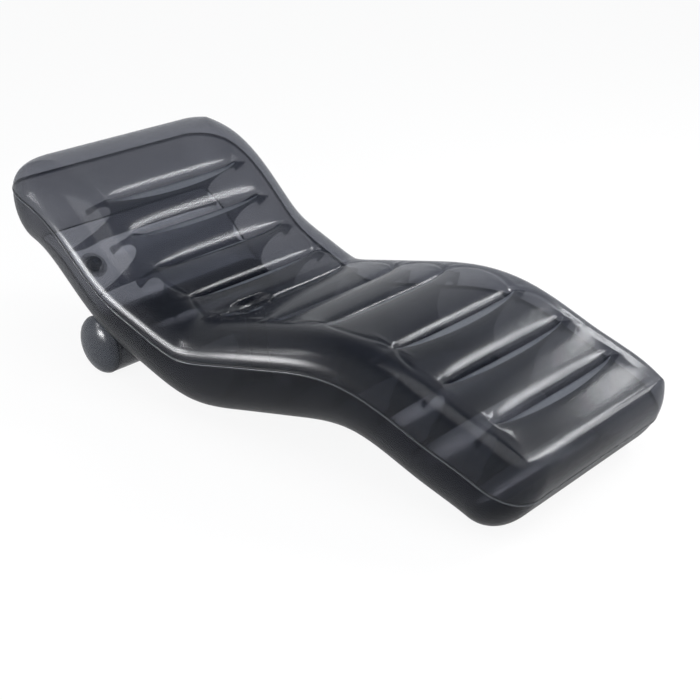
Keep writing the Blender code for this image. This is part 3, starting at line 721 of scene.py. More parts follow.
class Skin:
    """The outer face of the whole chamber, from which each sheet takes its faces."""

    columns_half = 42
    even_share = 0.55
    roll_steps = 13
    band_steps = 16
    wrinkle_place = 1.405
    wrinkle_depth = 0.0022
    wrinkle_reach = 0.055
    wrinkle_pitch = 0.019
    wrinkle_turn = 52.0
    wrinkle_spread = 17.0

    def __init__(self, chamber: Chamber) -> None:
        """Compute all points and faces.

        Args:
            chamber: the rule of the shape.
        """
        self.chamber = chamber
        sizes = chamber.sizes
        self.rows = chamber.find_rows()
        even = np.linspace(-1.0, 1.0, 2 * self.columns_half + 1)
        self.shares = self.even_share * even + (1.0 - self.even_share) * np.sin(even * math.pi / 2)
        row_count, column_count = len(self.rows), len(self.shares)
        s, y = np.meshgrid(self.rows, self.shares * sizes.field_half, indexing="ij")
        top = chamber.place(s, y, chamber.top_height(s, y))
        low_s = chamber.low_distance(s)
        low_y = self.shares[None, :] * chamber.low_half(low_s)
        low = chamber.place(low_s, low_y, chamber.low_height(s, low_s, low_y))
        low = chamber.flatten(low, low_s, low_y)
        self.top_plan = np.stack([s, y], -1).reshape(-1, 2)
        self.low_plan = np.stack([low_s, low_y], -1).reshape(-1, 2)
        order = [(i, 0) for i in range(row_count - 1)]
        order += [(row_count - 1, j) for j in range(column_count - 1)]
        order += [(i, column_count - 1) for i in range(row_count - 1, 0, -1)]
        order += [(0, j) for j in range(column_count - 1, 0, -1)]
        self.order = np.array(order)
        self.find_edge()
        roll_end = math.acos(sizes.lap / (chamber.crest - sizes.seam_height))
        band_start = math.asin(sizes.lap / (sizes.seam_height + sizes.under_rise))
        band_end = math.acos(sizes.lap / sizes.seam_inset)
        rolls = np.linspace(0.0, roll_end, self.roll_steps + 1)[1:]
        bands = np.linspace(band_start, band_end, self.band_steps + 1)
        loops = [self.roll_loop(turn) for turn in rolls]
        self.seam_loop = self.roll_loop(math.radians(90))
        loops += [self.band_loop(turn) for turn in [*bands, math.radians(90)]]
        self.low_seam_loop = self.band_loop(band_end)
        self.join(top, low, loops)

    def find_edge(self) -> None:
        """Work out the outline place of each point round the field."""
        chamber = self.chamber
        i, j = self.order.T
        along = 2.0 * (self.rows[i] - chamber.start) / (chamber.end - chamber.start) - 1.0
        across = self.shares[j]
        on_side = (j == 0) | (j == len(self.shares) - 1)
        a = np.where(on_side, along, np.sign(along))
        b = np.where(on_side, np.sign(across), across)
        self.edge = chamber.outline(a, b)
        self.inner = self.rows[i], self.shares[j] * chamber.sizes.field_half

    def roll_loop(self, turn: float) -> np.ndarray:
        """Points round the upper roll.

        Args:
            turn: 0 at the field's edge, a quarter turn at the top seam.

        Returns:
            The points of the ring.
        """
        chamber = self.chamber
        s, y, _, _ = self.edge
        inner_s, inner_y = self.inner
        share = math.sin(turn)
        at_s, at_y = inner_s + (s - inner_s) * share, inner_y + (y - inner_y) * share
        height = chamber.sizes.seam_height + (chamber.crest - chamber.sizes.seam_height) * math.cos(turn)
        dip = chamber.top_dip(at_s, at_y) * math.cos(turn) ** 2
        return chamber.place(at_s, at_y, height - dip - self.side_wrinkles(at_s, turn))

    def side_wrinkles(self, s: np.ndarray, turn: float) -> np.ndarray:
        """Short upright folds in the roll where the side bends inwards.

        Args:
            s: distances along the path.
            turn: the turn in the roll.

        Returns:
            The folds' depths.
        """
        window = math.exp(-((math.degrees(turn) - self.wrinkle_turn) / self.wrinkle_spread) ** 2)
        run = s - self.wrinkle_place
        fade = np.exp(-(run / self.wrinkle_reach) ** 4)
        return self.wrinkle_depth * window * fade * np.cos(run * math.tau / self.wrinkle_pitch)

    def band_loop(self, turn: float) -> np.ndarray:
        """Points round the band at a turn down from the top seam.

        Args:
            turn: the turn in radians.

        Returns:
            The points of the ring.
        """
        s, y, out_s, out_y = self.edge
        inset, height = self.chamber.band_place(turn)
        return self.chamber.place(s - out_s * inset, y - out_y * inset, height)

    def join(self, top: np.ndarray, low: np.ndarray, loops: list) -> None:
        """Number all points, make the faces and find the normals.

        Args:
            top: grid of the top sheet.
            low: grid of the bottom sheet.
            loops: the rings between them, from the top down.
        """
        row_count, column_count = top.shape[:2]
        grid = np.arange(row_count * column_count).reshape(row_count, column_count)
        low_grid = grid + grid.size
        round_count = len(self.order)
        ring = np.arange(round_count)
        loop_ids = [2 * grid.size + k * round_count + ring for k in range(len(loops))]
        points = np.concatenate([top.reshape(-1, 3), low.reshape(-1, 3), *loops])
        points[:, 2] = np.maximum(points[:, 2], 0.0)
        i, j = self.order.T
        chain = [grid[i, j], *loop_ids, low_grid[i, j]]
        self.top_faces = self.grid_faces(grid)[:, ::-1]
        self.low_faces = self.grid_faces(low_grid)
        self.rings = [np.stack([a, b, np.roll(b, -1), np.roll(a, -1)], -1) for a, b in zip(chain, chain[1:])]
        mesh = bpy.data.meshes.new("skin")
        faces = np.concatenate([self.top_faces, self.low_faces, *self.rings])
        mesh.from_pydata(points.tolist(), [], faces.tolist())
        shape = bmesh.new()
        shape.from_mesh(mesh)
        bmesh.ops.recalc_face_normals(shape, faces=shape.faces)
        shape.normal_update()
        faces = np.array([[vert.index for vert in face.verts] for face in shape.faces])
        stops = np.cumsum([len(part) for part in (self.top_faces, self.low_faces, *self.rings)])[:-1]
        self.top_faces, self.low_faces, *self.rings = np.split(faces, stops)
        self.points = points
        self.normals = np.array([vert.normal for vert in shape.verts])
        self.tree = BVHTree.FromBMesh(shape)
        shape.free()
        bpy.data.meshes.remove(mesh)

    @staticmethod
    def grid_faces(grid: np.ndarray) -> np.ndarray:
        """Quads of a grid of point numbers."""
        return np.stack([grid[:-1, :-1], grid[1:, :-1], grid[1:, 1:], grid[:-1, 1:]], -1).reshape(-1, 4)

    def punch(self, faces: np.ndarray, plan: np.ndarray, first: int, centre: tuple,
              radius: float) -> np.ndarray:
        """Take the faces inside a circle out of a field and draw the hole's edge onto the circle.

        Args:
            faces: the field's quads.
            plan: (along, across) of the field's points.
            first: number of the field's first point.
            centre: (along, across) of the hole.
            radius: the hole's radius.

        Returns:
            The quads that are left.
        """
        place = plan[faces - first]
        inside = np.hypot(*(place.mean(axis=1) - np.array(centre)).T) < radius
        rim = np.intersect1d(faces[inside], faces[~inside])
        offset = plan[rim - first] - np.array(centre)
        stretch = radius / np.hypot(*offset.T)
        back, ahead = self.chamber.place(centre[0] + np.array([-MM, MM]), 0.0, 0.0)
        along = (ahead - back) / np.linalg.norm(ahead - back)
        move = offset * (stretch - 1.0)[:, None]
        self.points[rim] += move[:, :1] * along + move[:, 1:] * np.array([0.0, 1.0, 0.0])
        return faces[~inside]

    def sheet(self, name: str, faces: np.ndarray, depth: float) -> bpy.types.Object:
        """A closed film whose outer face is the given one, moved inwards.

        Args:
            name: the piece's name.
            faces: quads of the skin.
            depth: how far inwards.

        Returns:
            The new object.
        """
        used, compact = np.unique(faces, return_inverse=True)
        compact = compact.reshape(faces.shape)
        outer = self.points[used] - self.normals[used] * depth
        inner = outer - self.normals[used] * FILM
        edges = np.concatenate([compact[:, [k, (k + 1) % 4]] for k in range(4)])
        key = np.sort(edges, axis=1)
        _, where, count = np.unique(key, axis=0, return_index=True, return_counts=True)
        rim = edges[where[count == 1]]
        size = len(used)
        sides = np.stack([rim[:, 1], rim[:, 0], rim[:, 0] + size, rim[:, 1] + size], -1)
        quads = np.concatenate([compact, compact[:, ::-1] + size, sides])
        return mesh_object(name, np.concatenate([outer, inner]), quads.tolist())


def mesh_object(name: str, points: np.ndarray | list, faces: list) -> bpy.types.Object:
    """Make an object from points and faces.

    Args:
        name: the object's name.
        points: the corners.
        faces: corner numbers of each face.

    Returns:
        The new object, smooth-shaded.
    """
    mesh = bpy.data.meshes.new(name)
    mesh.from_pydata([tuple(map(float, point)) for point in points], [], faces)
    mesh.validate()
    mesh.update()
    return smooth_object(mesh)


def shape_object(name: str, shape: bmesh.types.BMesh, turn: Matrix, smooth_deg: float) -> bpy.types.Object:
    """Make an object from a shape, with its place in its mesh.

    Args:
        name: the object's name.
        shape: the shape, which is freed.
        turn: the frame that it stands in.
        smooth_deg: edges sharper than this stay sharp.

    Returns:
        The new object, smooth-shaded.
    """
    bmesh.ops.recalc_face_normals(shape, faces=shape.faces)
    shape.transform(turn)
    mesh = bpy.data.meshes.new(name)
    shape.to_mesh(mesh)
    shape.free()
    return smooth_object(mesh, smooth_deg)


def smooth_object(mesh: bpy.types.Mesh, smooth_deg: float = 40.0) -> bpy.types.Object:
    """Shade a mesh smoothly and put it in the scene.

    Args:
        mesh: the mesh, whose name the object takes.
        smooth_deg: edges sharper than this stay sharp.

    Returns:
        The new object.
    """
    mesh.shade_smooth()
    mesh.set_sharp_from_angle(angle=math.radians(smooth_deg))
    item = bpy.data.objects.new(mesh.name, mesh)
    bpy.context.scene.collection.objects.link(item)
    return item


def dress(item: bpy.types.Object, finish: bpy.types.Material, body: Body, slot: Slot, *nodes: str) -> None:
    """Give a piece its material and body, hide the CAD nodes it stands for, and report it.

    Args:
        item: the piece.
        finish: its material.
        body: the body it rides on.
        slot: the record's slot; not used.
        nodes: the CAD nodes that it replaces.
    """
    item.data.materials.clear()
    item.data.materials.append(finish)
    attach(item, body.value)
    if nodes:
        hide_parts(*nodes)
    LOG.info("%s: %d faces, rides on %s", item.name, len(item.data.polygons), body.value)


class BeadTree:
    """A geometry node tree that lays a thin weld bead along a closed line of edges."""

    def __init__(self, finish: bpy.types.Material) -> None:
        """Build the tree.

        Args:
            finish: the bead's material.
        """
        tree = bpy.data.node_groups.new("lay_" + finish.name, "GeometryNodeTree")
        tree.interface.new_socket("Line", in_out="INPUT", socket_type="NodeSocketGeometry")
        for name, value in (("Bead Radius", 0.0012), ("Spacing", 0.006)):
            socket = tree.interface.new_socket(name, in_out="INPUT", socket_type="NodeSocketFloat")
            socket.default_value = value
        tree.interface.new_socket("Bead", in_out="OUTPUT", socket_type="NodeSocketGeometry")
        source = add_node(tree, "NodeGroupInput")
        line = add_node(tree, "GeometryNodeMeshToCurve", {0: source.outputs["Line"]})
        even = add_node(tree, "GeometryNodeResampleCurve", {
            "Curve": line.outputs[0], "Length": source.outputs["Spacing"]}, mode="LENGTH")
        ring = add_node(tree, "GeometryNodeCurvePrimitiveCircle", {
            "Resolution": 8, "Radius": source.outputs["Bead Radius"]})
        tube = add_node(tree, "GeometryNodeCurveToMesh", {
            "Curve": even.outputs[0], "Profile Curve": ring.outputs["Curve"]})
        smooth = add_node(tree, "GeometryNodeSetShadeSmooth", {0: tube.outputs[0]})
        real = add_node(tree, "GeometryNodeRealizeInstances", {0: smooth.outputs[0]})
        made = add_node(tree, "GeometryNodeSetMaterial", {"Geometry": real.outputs[0], "Material": finish})
        add_node(tree, "NodeGroupOutput", {0: made.outputs[0]})
        self.tree = tree
        self.finish = finish

    def lay(self, name: str, points: np.ndarray, radius: float, spacing: float) -> bpy.types.Object:
        """Lay a bead along a closed line.

        Args:
            name: the piece's name.
            points: the line's points in order.
            radius: the bead's radius.
            spacing: distance between its rings.

        Returns:
            The bead as a plain mesh object.
        """
        count = len(points)
        mesh = bpy.data.meshes.new(name + "_line")
        mesh.from_pydata(points.tolist(), [(k, (k + 1) % count) for k in range(count)], [])
        line = bpy.data.objects.new(name + "_line", mesh)
        bpy.context.scene.collection.objects.link(line)
        return grow(line, name, self.tree, {"Bead Radius": radius, "Spacing": spacing})


def grow(source: bpy.types.Object, name: str, tree: bpy.types.NodeTree, values: dict) -> bpy.types.Object:
    """Run a geometry node tree on an object and keep the result as a plain mesh.

    Args:
        source: the object it runs on, which is removed.
        name: the new object's name.
        tree: the node tree.
        values: its input values by name.

    Returns:
        The new object.
    """
    modifier = source.modifiers.new("grow", "NODES")
    modifier.node_group = tree
    ids = {item.name: item.identifier for item in tree.interface.items_tree if item.in_out == "INPUT"}
    for key, value in values.items():
        modifier[ids[key]] = value
    depsgraph = bpy.context.evaluated_depsgraph_get()
    mesh = bpy.data.meshes.new_from_object(source.evaluated_get(depsgraph), depsgraph=depsgraph)
    mesh.name = name
    bpy.data.objects.remove(source, do_unlink=True)
    item = bpy.data.objects.new(name, mesh)
    bpy.context.scene.collection.objects.link(item)
    return item


class ChamberShell:
    """Top sheet, side band and bottom sheet, with their welds and the drain's sleeve."""

    highlight_radius = 0.0015
    shadow_radius = 0.0011
    shadow_turn = 87.4
    low_weld_radius = 0.0012
    bead_spacing = 0.006
    sleeve_lip = 0.002
    sleeve_waist = 0.0022
    sleeve_rings = 25
    sleeve_sides = 56

    def __init__(self, chamber: Chamber, skin: Skin, film: bpy.types.Material, side_film: bpy.types.Material,
                 sleeve_film: bpy.types.Material, beads: BeadTree, dark_welds_and_shadow: BeadTree) -> None:
        """Keep what the pieces are made from.

        Args:
            chamber: the rule of the shape.
            skin: the chamber's outer face.
            film: the outer film's material.
            side_film: the side band's material.
            sleeve_film: the material of the drain's sleeve.
            beads: the tree that lays the light bead, a painted highlight along the top seam.
            dark_welds_and_shadow: the tree that lays the dark beads, a painted shadow above the top seam and
                a dark weld on the bottom seam.
        """
        self.chamber, self.skin, self.film = chamber, skin, film
        self.side_film, self.sleeve_film = side_film, sleeve_film
        self.beads, self.dark_welds_and_shadow = beads, dark_welds_and_shadow

    def build(self) -> None:
        """Make and dress all the shell's pieces."""
        chamber, skin = self.chamber, self.skin
        sizes = chamber.sizes
        grid_size = len(skin.top_plan)
        drain = (chamber.drain_s, chamber.drain_y)
        top_field = skin.punch(skin.top_faces, skin.top_plan, 0, drain, sizes.drain_radius)
        low_field = skin.punch(skin.low_faces, skin.low_plan, grid_size, drain, sizes.drain_radius)
        low_field = skin.punch(low_field, skin.low_plan, grid_size, (chamber.valve_s, chamber.valve_y),
                               sizes.valve_hole_radius)
        seam = skin.roll_steps
        low_seam = seam + 1 + skin.band_steps
        top = skin.sheet("top_film", np.concatenate([top_field, *skin.rings[:seam + 1]]), 0.0)
        band = skin.sheet("side_band_film", np.concatenate(skin.rings[seam:low_seam + 1]), INSIDE)
        low = skin.sheet("bottom_film", np.concatenate([low_field, *skin.rings[low_seam:]]), 0.0)
        for item, node, finish in ((top, "top_sheet", self.film), (band, "side_band", self.side_film),
                                   (low, "bottom_sheet", self.film)):
            dress(item, finish, Body.LOUNGE, Slot.FILM, node)
        upper = skin.roll_loop(math.radians(self.shadow_turn))
        low_line = skin.low_seam_loop.copy()
        low_line[:, 2] = np.maximum(low_line[:, 2], self.low_weld_radius)
        for name, tree, line, radius in (
                # The light bead is painted a lighter grey than the film: a painted highlight along the top
                # seam
                ("top_seam_painted_highlight", self.beads, skin.seam_loop, self.highlight_radius),
                # The dark bead above the top seam is a painted shadow; the one on the bottom seam is a dark
                # weld
                ("top_seam_painted_shadow", self.dark_welds_and_shadow, upper, self.shadow_radius),
                ("bottom_seam_dark_weld", self.dark_welds_and_shadow, low_line, self.low_weld_radius)):
            weld = tree.lay(name, line, radius, self.bead_spacing)
            dress(weld, tree.finish, Body.LOUNGE, Slot.FILM)
        self.build_sleeve()

    def build_sleeve(self) -> None:
        """The film tube that lines the drain hole, drawn in a little between its ends."""
        chamber = self.chamber
        sizes = chamber.sizes
        origin = Vector(chamber.place(chamber.drain_s, chamber.drain_y, 0.0))
        up = (Vector(chamber.place(chamber.drain_s, chamber.drain_y, sizes.web_height)) - origin).normalized()
        across = Vector((0.0, 1.0, 0.0))
        turn = frame_from(origin, across.cross(up), across, up)
        outer = sizes.drain_radius - GAP
        heights = np.linspace(-self.sleeve_lip, sizes.web_height + self.sleeve_lip, self.sleeve_rings)
        climb = (heights + self.sleeve_lip) / (sizes.web_height + 2 * self.sleeve_lip)
        waist = self.sleeve_waist * np.sin(math.pi * climb)
        profile = [(outer - w, h) for h, w in zip(heights, waist)]
        profile += [(outer - FILM - w, h) for h, w in zip(heights[::-1], waist[::-1])]
        sleeve = turned("drain_film_sleeve", profile, self.sleeve_sides, turn)
        dress(sleeve, self.sleeve_film, Body.LOUNGE, Slot.INNER, "drain_sleeve")


def frame_from(origin: Vector, x_axis: Vector, y_axis: Vector, z_axis: Vector) -> Matrix:
    """Matrix of a frame with these axes."""
    turn = Matrix((x_axis, y_axis, z_axis)).transposed().to_4x4()
    turn.translation = origin
    return turn


def turned(name: str, profile: list, sides: int, turn: Matrix, bevel: float = 0.0) -> bpy.types.Object:
    """Turn a closed profile round the frame's Z axis; it may start and end on the axis.

    Args:
        name: the piece's name.
        profile: (radius, height) points.
        sides: corners of each ring.
        turn: the frame.
        bevel: radius that sharp edges are rounded to.

    Returns:
        The new object, with its place in its mesh.
    """
    shape = bmesh.new()
    rings = []
    for radius, height in profile:
        if radius <= 0.0:
            rings.append([shape.verts.new((0.0, 0.0, height))])
            continue
        angles = np.linspace(0.0, math.tau, sides, endpoint=False)
        rings.append([shape.verts.new((radius * math.cos(a), radius * math.sin(a), height)) for a in angles])
    pairs = list(zip(rings, rings[1:]))
    if profile[0][0] > 0.0:
        pairs.append((rings[-1], rings[0]))
    for first, second in pairs:
        for k in range(sides):
            corners = [first[k % len(first)], second[k % len(second)],
                       second[(k + 1) % len(second)], first[(k + 1) % len(first)]]
            unique = list(dict.fromkeys(corners))
            if len(unique) > 2:
                shape.faces.new(unique)
    if bevel > 0.0:
        bmesh.ops.recalc_face_normals(shape, faces=shape.faces)
        shape.normal_update()
        sharp = [edge for edge in shape.edges if edge.calc_face_angle(0.0) > math.radians(35)]
        bmesh.ops.bevel(shape, geom=sharp, offset=bevel, segments=2, profile=0.5, affect="EDGES",
                        clamp_overlap=True)
    return shape_object(name, shape, turn, 40.0)


def plate(name: str, outline: list, thickness: float, turn: Matrix, bevel: float = 0.0) -> bpy.types.Object:
    """A flat plate in the frame's XY plane, half the thickness on each side.

    Args:
        name: the piece's name.
        outline: (x, y) corners.
        thickness: the plate's thickness.
        turn: the frame.
        bevel: radius that its edges are rounded to.

    Returns:
        The new object, with its place in its mesh.
    """
    shape = bmesh.new()
    lower = [shape.verts.new((x, y, -thickness / 2)) for x, y in outline]
    upper = [shape.verts.new((x, y, thickness / 2)) for x, y in outline]
    caps = [shape.faces.new(lower[::-1]), shape.faces.new(upper)]
    count = len(outline)
    for k in range(count):
        shape.faces.new((lower[k], lower[(k + 1) % count], upper[(k + 1) % count], upper[k]))
    if bevel > 0.0:
        bmesh.ops.bevel(shape, geom=list(shape.edges), offset=bevel, segments=2, profile=0.5, affect="EDGES",
                        clamp_overlap=True)
        caps = [face for face in shape.faces if len(face.verts) > 4]
    shape.normal_update()
    bmesh.ops.triangulate(shape, faces=caps)
    return shape_object(name, shape, turn, 30.0)


class InnerWebs:
    """The cross webs: die-cut films with a hook, a round notch and a thin tail at both ends."""

    # A web's far end from the crease to the tail: shares of half a crease across, and of the height up; the
    # tail's are shares of half the web's foot across
    hook_shares = ((1.06, 1.06), (1.16, 1.02), (1.25, 0.98), (1.275, 0.955), (1.25, 0.90), (1.19, 0.81),
                   (1.165, 0.795), (1.145, 0.82))
    notch_shares = ((1.115, 0.865), (1.07, 0.905), (0.98, 0.90), (0.878, 0.815), (0.816, 0.70),
                    (0.80, 0.565), (0.83, 0.460), (0.885, 0.33))
    tail_shares = ((0.83, 0.18), (0.90, 0.09), (0.985, 0.02))
    top_step = 0.006
    flange_columns = 61
    flange_rows = 9
    flange_start = 0.004
    flange_reach = 0.024
    flange_depth = 0.0012
    flange_span = 0.985
    flange_power = 0.8
    hook_steps = 4
    notch_steps = 5

    def __init__(self, chamber: Chamber, skin: Skin, film: bpy.types.Material,
                 flange: bpy.types.Material) -> None:
        """Keep what the webs are made from.

        Args:
            chamber: the rule of the shape.
            skin: the chamber's outer face, which the webs reach.
            film: the web film's material.
            flange: the material of the welded flanges, painted near white as a painted reflection.
        """
        self.chamber, self.skin, self.film, self.flange = chamber, skin, film, flange

    def build(self) -> None:
        """Make all webs; the one in the drain's line is in two pieces."""
        chamber = self.chamber
        sizes = chamber.sizes
        for k, (s, low_s) in enumerate(zip(chamber.creases, chamber.low_creases)):
            node = f"web_{k + 1:02d}"
            self.build_flange(node + "_flange", s)
            if k == sizes.drain_crease:
                self.build_web(node + "_near", s, low_s, high_end=chamber.drain_y - sizes.drain_radius)
                self.build_web(node + "_far", s, low_s, low_end=chamber.drain_y + sizes.drain_radius)
            else:
                self.build_web(node, s, low_s)

    def build_web(self, node: str, s: float, low_s: float, low_end: float | None = None,
                  high_end: float | None = None) -> None:
        """One web.

        Args:
            node: the CAD node that it replaces.
            s: its place in the top sheet.
            low_s: its place in the bottom sheet.
            low_end: where it starts across the body, or None for its own near end.
            high_end: where it ends, or None for its own far end.
        """
        chamber, tree = self.chamber, self.skin.tree
        sizes = chamber.sizes
        foot = Vector(chamber.place(low_s, 0.0, 0.0))
        up = (Vector(chamber.place(s, 0.0, sizes.web_height)) - foot).normalized()
        across = Vector((0.0, 1.0, 0.0))
        middle = sizes.web_height / 2

        def room(y: float, direction: float) -> float:
            start = foot + across * y + up * middle
            return tree.ray_cast(start, up * direction)[3] - INSIDE

        def roof(y: float) -> float:
            return middle + room(y, 1.0)

        def floor(y: float) -> float:
            return middle - room(y, -1.0)

        half = sizes.crease_half
        low_half = float(chamber.low_half(np.array(low_s)))
        first = -half if low_end is None else low_end
        last = half if high_end is None else high_end
        foot_first = -low_half if low_end is None else low_end
        foot_last = low_half if high_end is None else high_end
        count = max(4, round((last - first) / self.top_step))
        foot_count = max(4, round((foot_last - foot_first) / self.top_step))
        end = self.end_points(half, sizes.web_height, low_half, roof)
        outline = [(y, roof(y)) for y in np.linspace(first, last, count)]
        if high_end is None:
            outline += end
        outline += [(y, floor(y)) for y in np.linspace(foot_last, foot_first, foot_count)]
        if low_end is None:
            outline += [(-y, h) for y, h in end[::-1]]
        turn = frame_from(foot, across, up, across.cross(up))
        item = plate(node + "_film", outline, FILM, turn)
        dress(item, self.film, Body.LOUNGE, Slot.INNER, node)

    def build_flange(self, name: str, s: float) -> None:
        """The leaf-shaped flange by which a web is welded to the top sheet, just below its crease.

        Args:
            name: the piece's name.
            s: the crease's place along the path.
        """
        chamber = self.chamber
        across = np.linspace(-self.flange_span, self.flange_span, self.flange_columns)
        reach = self.flange_reach * (1.0 - across**2) ** self.flange_power
        share = np.linspace(0.0, 1.0, self.flange_rows)
        along = s + self.flange_start + reach[:, None] * share[None, :]
        y = np.broadcast_to(across[:, None] * chamber.sizes.crease_half, along.shape)
        height = chamber.top_height(along, y) - self.flange_depth
        lower = chamber.place(along, y, height - FILM)
        upper = chamber.place(along, y, height)
        columns, rows = along.shape
        grid = np.arange(columns * rows).reshape(columns, rows)
        quads = Skin.grid_faces(grid)
        size = grid.size
        edge = [*grid[0], *grid[1:, -1], *grid[-1, -2::-1], *grid[-2:0:-1, 0]]
        faces = [*quads.tolist(), *(quads[:, ::-1] + size).tolist()]
        faces += [(b, a, a + size, b + size) for a, b in zip(edge, edge[1:] + edge[:1])]
        item = mesh_object(name, np.concatenate([upper.reshape(-1, 3), lower.reshape(-1, 3)]), faces)
        shape = bmesh.new()
        shape.from_mesh(item.data)
        bmesh.ops.recalc_face_normals(shape, faces=shape.faces)
        shape.to_mesh(item.data)
        shape.free()
        # Its near-white film, seen through the top sheet, is a painted reflection
        dress(item, self.flange, Body.LOUNGE, Slot.INNER)

    def end_points(self, half: float, height: float, low_half: float, roof: Callable[[float], float]) -> list:
        """Outline of a web's far end, from its crease end to its tail.

        Args:
            half: half length of the crease.
            height: height of the web.
            low_half: half length of its foot.
            roof: gives the room under the top sheet at a place across.

        Returns:
            (across, height) points.
        """
        hook = round_curve([(a * half, u * height) for a, u in self.hook_shares], self.hook_steps)
        notch = [(a * half, u * height) for a, u in self.notch_shares]
        notch += [(a * low_half, u * height) for a, u in self.tail_shares]
        notch = round_curve(notch, self.notch_steps)
        return [(y, min(h, roof(y) - MM)) for y, h in hook + notch[:-1]]


class Bolster:
    """The round bolster under the back: tube, domed ends with gathered seams, and the strip that holds it."""

    tube_rings = 61
    dome_rings_count = 19
    gathers = 24
    gather_depth = 0.0014
    gather_run = 0.022
    gather_turn = 0.35
    end_draw = 0.0012
    valve_flat = 0.0195
    weld_radius = 0.0013
    weld_spacing = 0.005
    strip_corner = 0.006

    def __init__(self, chamber: Chamber, film: bpy.types.Material, inner: bpy.types.Material,
                 beads: BeadTree) -> None:
        """Keep what the bolster is made from.

        Args:
            chamber: the rule of the shape, which gives its place.
            film: its film.
            inner: the strip's film.
            beads: the tree that lays welds.
        """
        self.chamber, self.film, self.inner, self.beads = chamber, film, inner, beads
        self.sizes = chamber.bolster
        self.centre = chamber.bolster_centre(chamber.bolster_s)
        self.tube_half = self.sizes.length / 2 - self.sizes.dome_depth

    def ring(self, radius: float, y: float, gather: float = 0.0) -> np.ndarray:
        """Points of a ring round the bolster's axis, drawn in by small gathers.

        Args:
            radius: the ring's radius.
            y: its place across the body.
            gather: depth of the gathers.

        Returns:
            The ring's points.
        """
        turn = np.linspace(0.0, math.tau, self.sizes.sides, endpoint=False)
        down = np.maximum(0.0, -np.sin(turn)) ** 2
        pull = gather * (0.5 - 0.5 * np.cos(turn * self.gathers)) * (1.0 - down)
        size = radius - pull
        return np.stack([self.centre.x + size * np.cos(turn), np.full_like(turn, y),
                         self.centre.z + size * np.sin(turn)], -1)

    def film_between(self, name: str, rings: list) -> bpy.types.Object:
        """A closed film from a list of (radius, y, gather) rings, thickened inwards.

        Args:
            name: the piece's name.
            rings: the rings in order; a radius of 0 closes an end.

        Returns:
            The new object.
        """
        sides = self.sizes.sides
        outer = np.concatenate([self.ring(*ring) for ring in rings])
        count = len(rings)
        faces = []
        for r in range(count - 1):
            for k in range(sides):
                ahead = (k + 1) % sides
                faces.append((r * sides + k, (r + 1) * sides + k, (r + 1) * sides + ahead, r * sides + ahead))
        item = mesh_object(name, outer, faces)
        shape = bmesh.new()
        shape.from_mesh(item.data)
        bmesh.ops.remove_doubles(shape, verts=shape.verts, dist=1e-6)
        bmesh.ops.recalc_face_normals(shape, faces=shape.faces)
        probe = max(shape.faces, key=lambda face: face.calc_area())
        radial = probe.calc_center_median() - self.centre
        if probe.normal.dot(radial) < 0.0:
            bmesh.ops.reverse_faces(shape, faces=shape.faces)
        shape.to_mesh(item.data)
        shape.free()
        modifier = item.modifiers.new("film", "SOLIDIFY")
        modifier.thickness = FILM
        modifier.offset = -1.0
        return item

    def build(self) -> None:
        """Make and dress the bolster's pieces."""
        sizes = self.sizes
        rings = []
        for y in np.linspace(-self.tube_half, self.tube_half, self.tube_rings):
            near_end = math.exp(-((self.tube_half - abs(y)) / self.gather_run))
            rings.append((sizes.radius - self.end_draw * near_end, float(y), self.gather_depth * near_end))
        tube = self.film_between("bolster_tube_film", rings)
        dress(tube, self.film, Body.LOUNGE, Slot.FILM, "bolster_tube")
        for side, name in ((-1, "near"), (1, "far")):
            flat = 0.0 if side < 0 else self.valve_flat
            hole = 0.0 if side < 0 else BOLSTER_VALVE.hole_radius
            dome = self.film_between(f"bolster_end_{name}_film", self.dome_rings(side, flat, hole))
            dress(dome, self.film, Body.LOUNGE, Slot.FILM, f"bolster_end_{name}")
            y = side * (self.tube_half + GAP / 2)
            line = self.ring(sizes.radius - self.gather_depth, y)
            bead = self.beads.lay(f"bolster_weld_{name}", line, self.weld_radius, self.weld_spacing)
            dress(bead, self.beads.finish, Body.LOUNGE, Slot.FILM)
        self.build_strip()

    def dome_rings(self, side: int, flat: float, hole: float) -> list:
        """Rings of a domed end.

        Args:
            side: -1 for the near end, 1 for the far one.
            flat: radius of the level middle, or 0.
            hole: radius of the hole in it, or 0.

        Returns:
            (radius, y, gather) rings from the seam to the middle.
        """
        sizes = self.sizes
        base = self.tube_half + GAP
        depth = sizes.dome_depth - GAP
        rings = []
        for turn in np.radians(np.linspace(0.0, 90.0, self.dome_rings_count)):
            radius = (sizes.radius - self.end_draw) * math.cos(turn)
            if radius <= flat or turn >= math.radians(90):
                break
            gather = self.gather_depth * math.exp(-(turn / self.gather_turn))
            rings.append((radius, side * (base + depth * math.sin(turn)), gather))
        rings.append((flat, side * (base + depth), 0.0))
        if hole > 0.0:
            rings.append((hole, side * (base + depth), 0.0))
        return rings

    def build_strip(self) -> None:
        """The strip of film that welds the bolster to the underside."""
        sizes, chamber = self.sizes, self.chamber
        _, direction, outward = chamber.flat_frame(chamber.bolster_s, chamber.sizes.bolster_flat, 0.0)
        middle = self.centre - outward * (sizes.radius + GAP + FILM / 2)
        half_width, half_length, corner = sizes.strip_width / 2, sizes.strip_length / 2, self.strip_corner
        outline = []
        for x, y, start in ((1, 1, 0), (-1, 1, 90), (-1, -1, 180), (1, -1, 270)):
            for turn in np.radians(np.linspace(start, start + 90, 6)):
                outline.append((x * (half_width - corner) + corner * math.cos(turn),
                                y * (half_length - corner) + corner * math.sin(turn)))
        strip = plate("bolster_strip_film", outline, FILM,
                      frame_from(middle, direction, outward.cross(direction), outward))
        dress(strip, self.inner, Body.LOUNGE, Slot.INNER, "bolster_weld_strip")


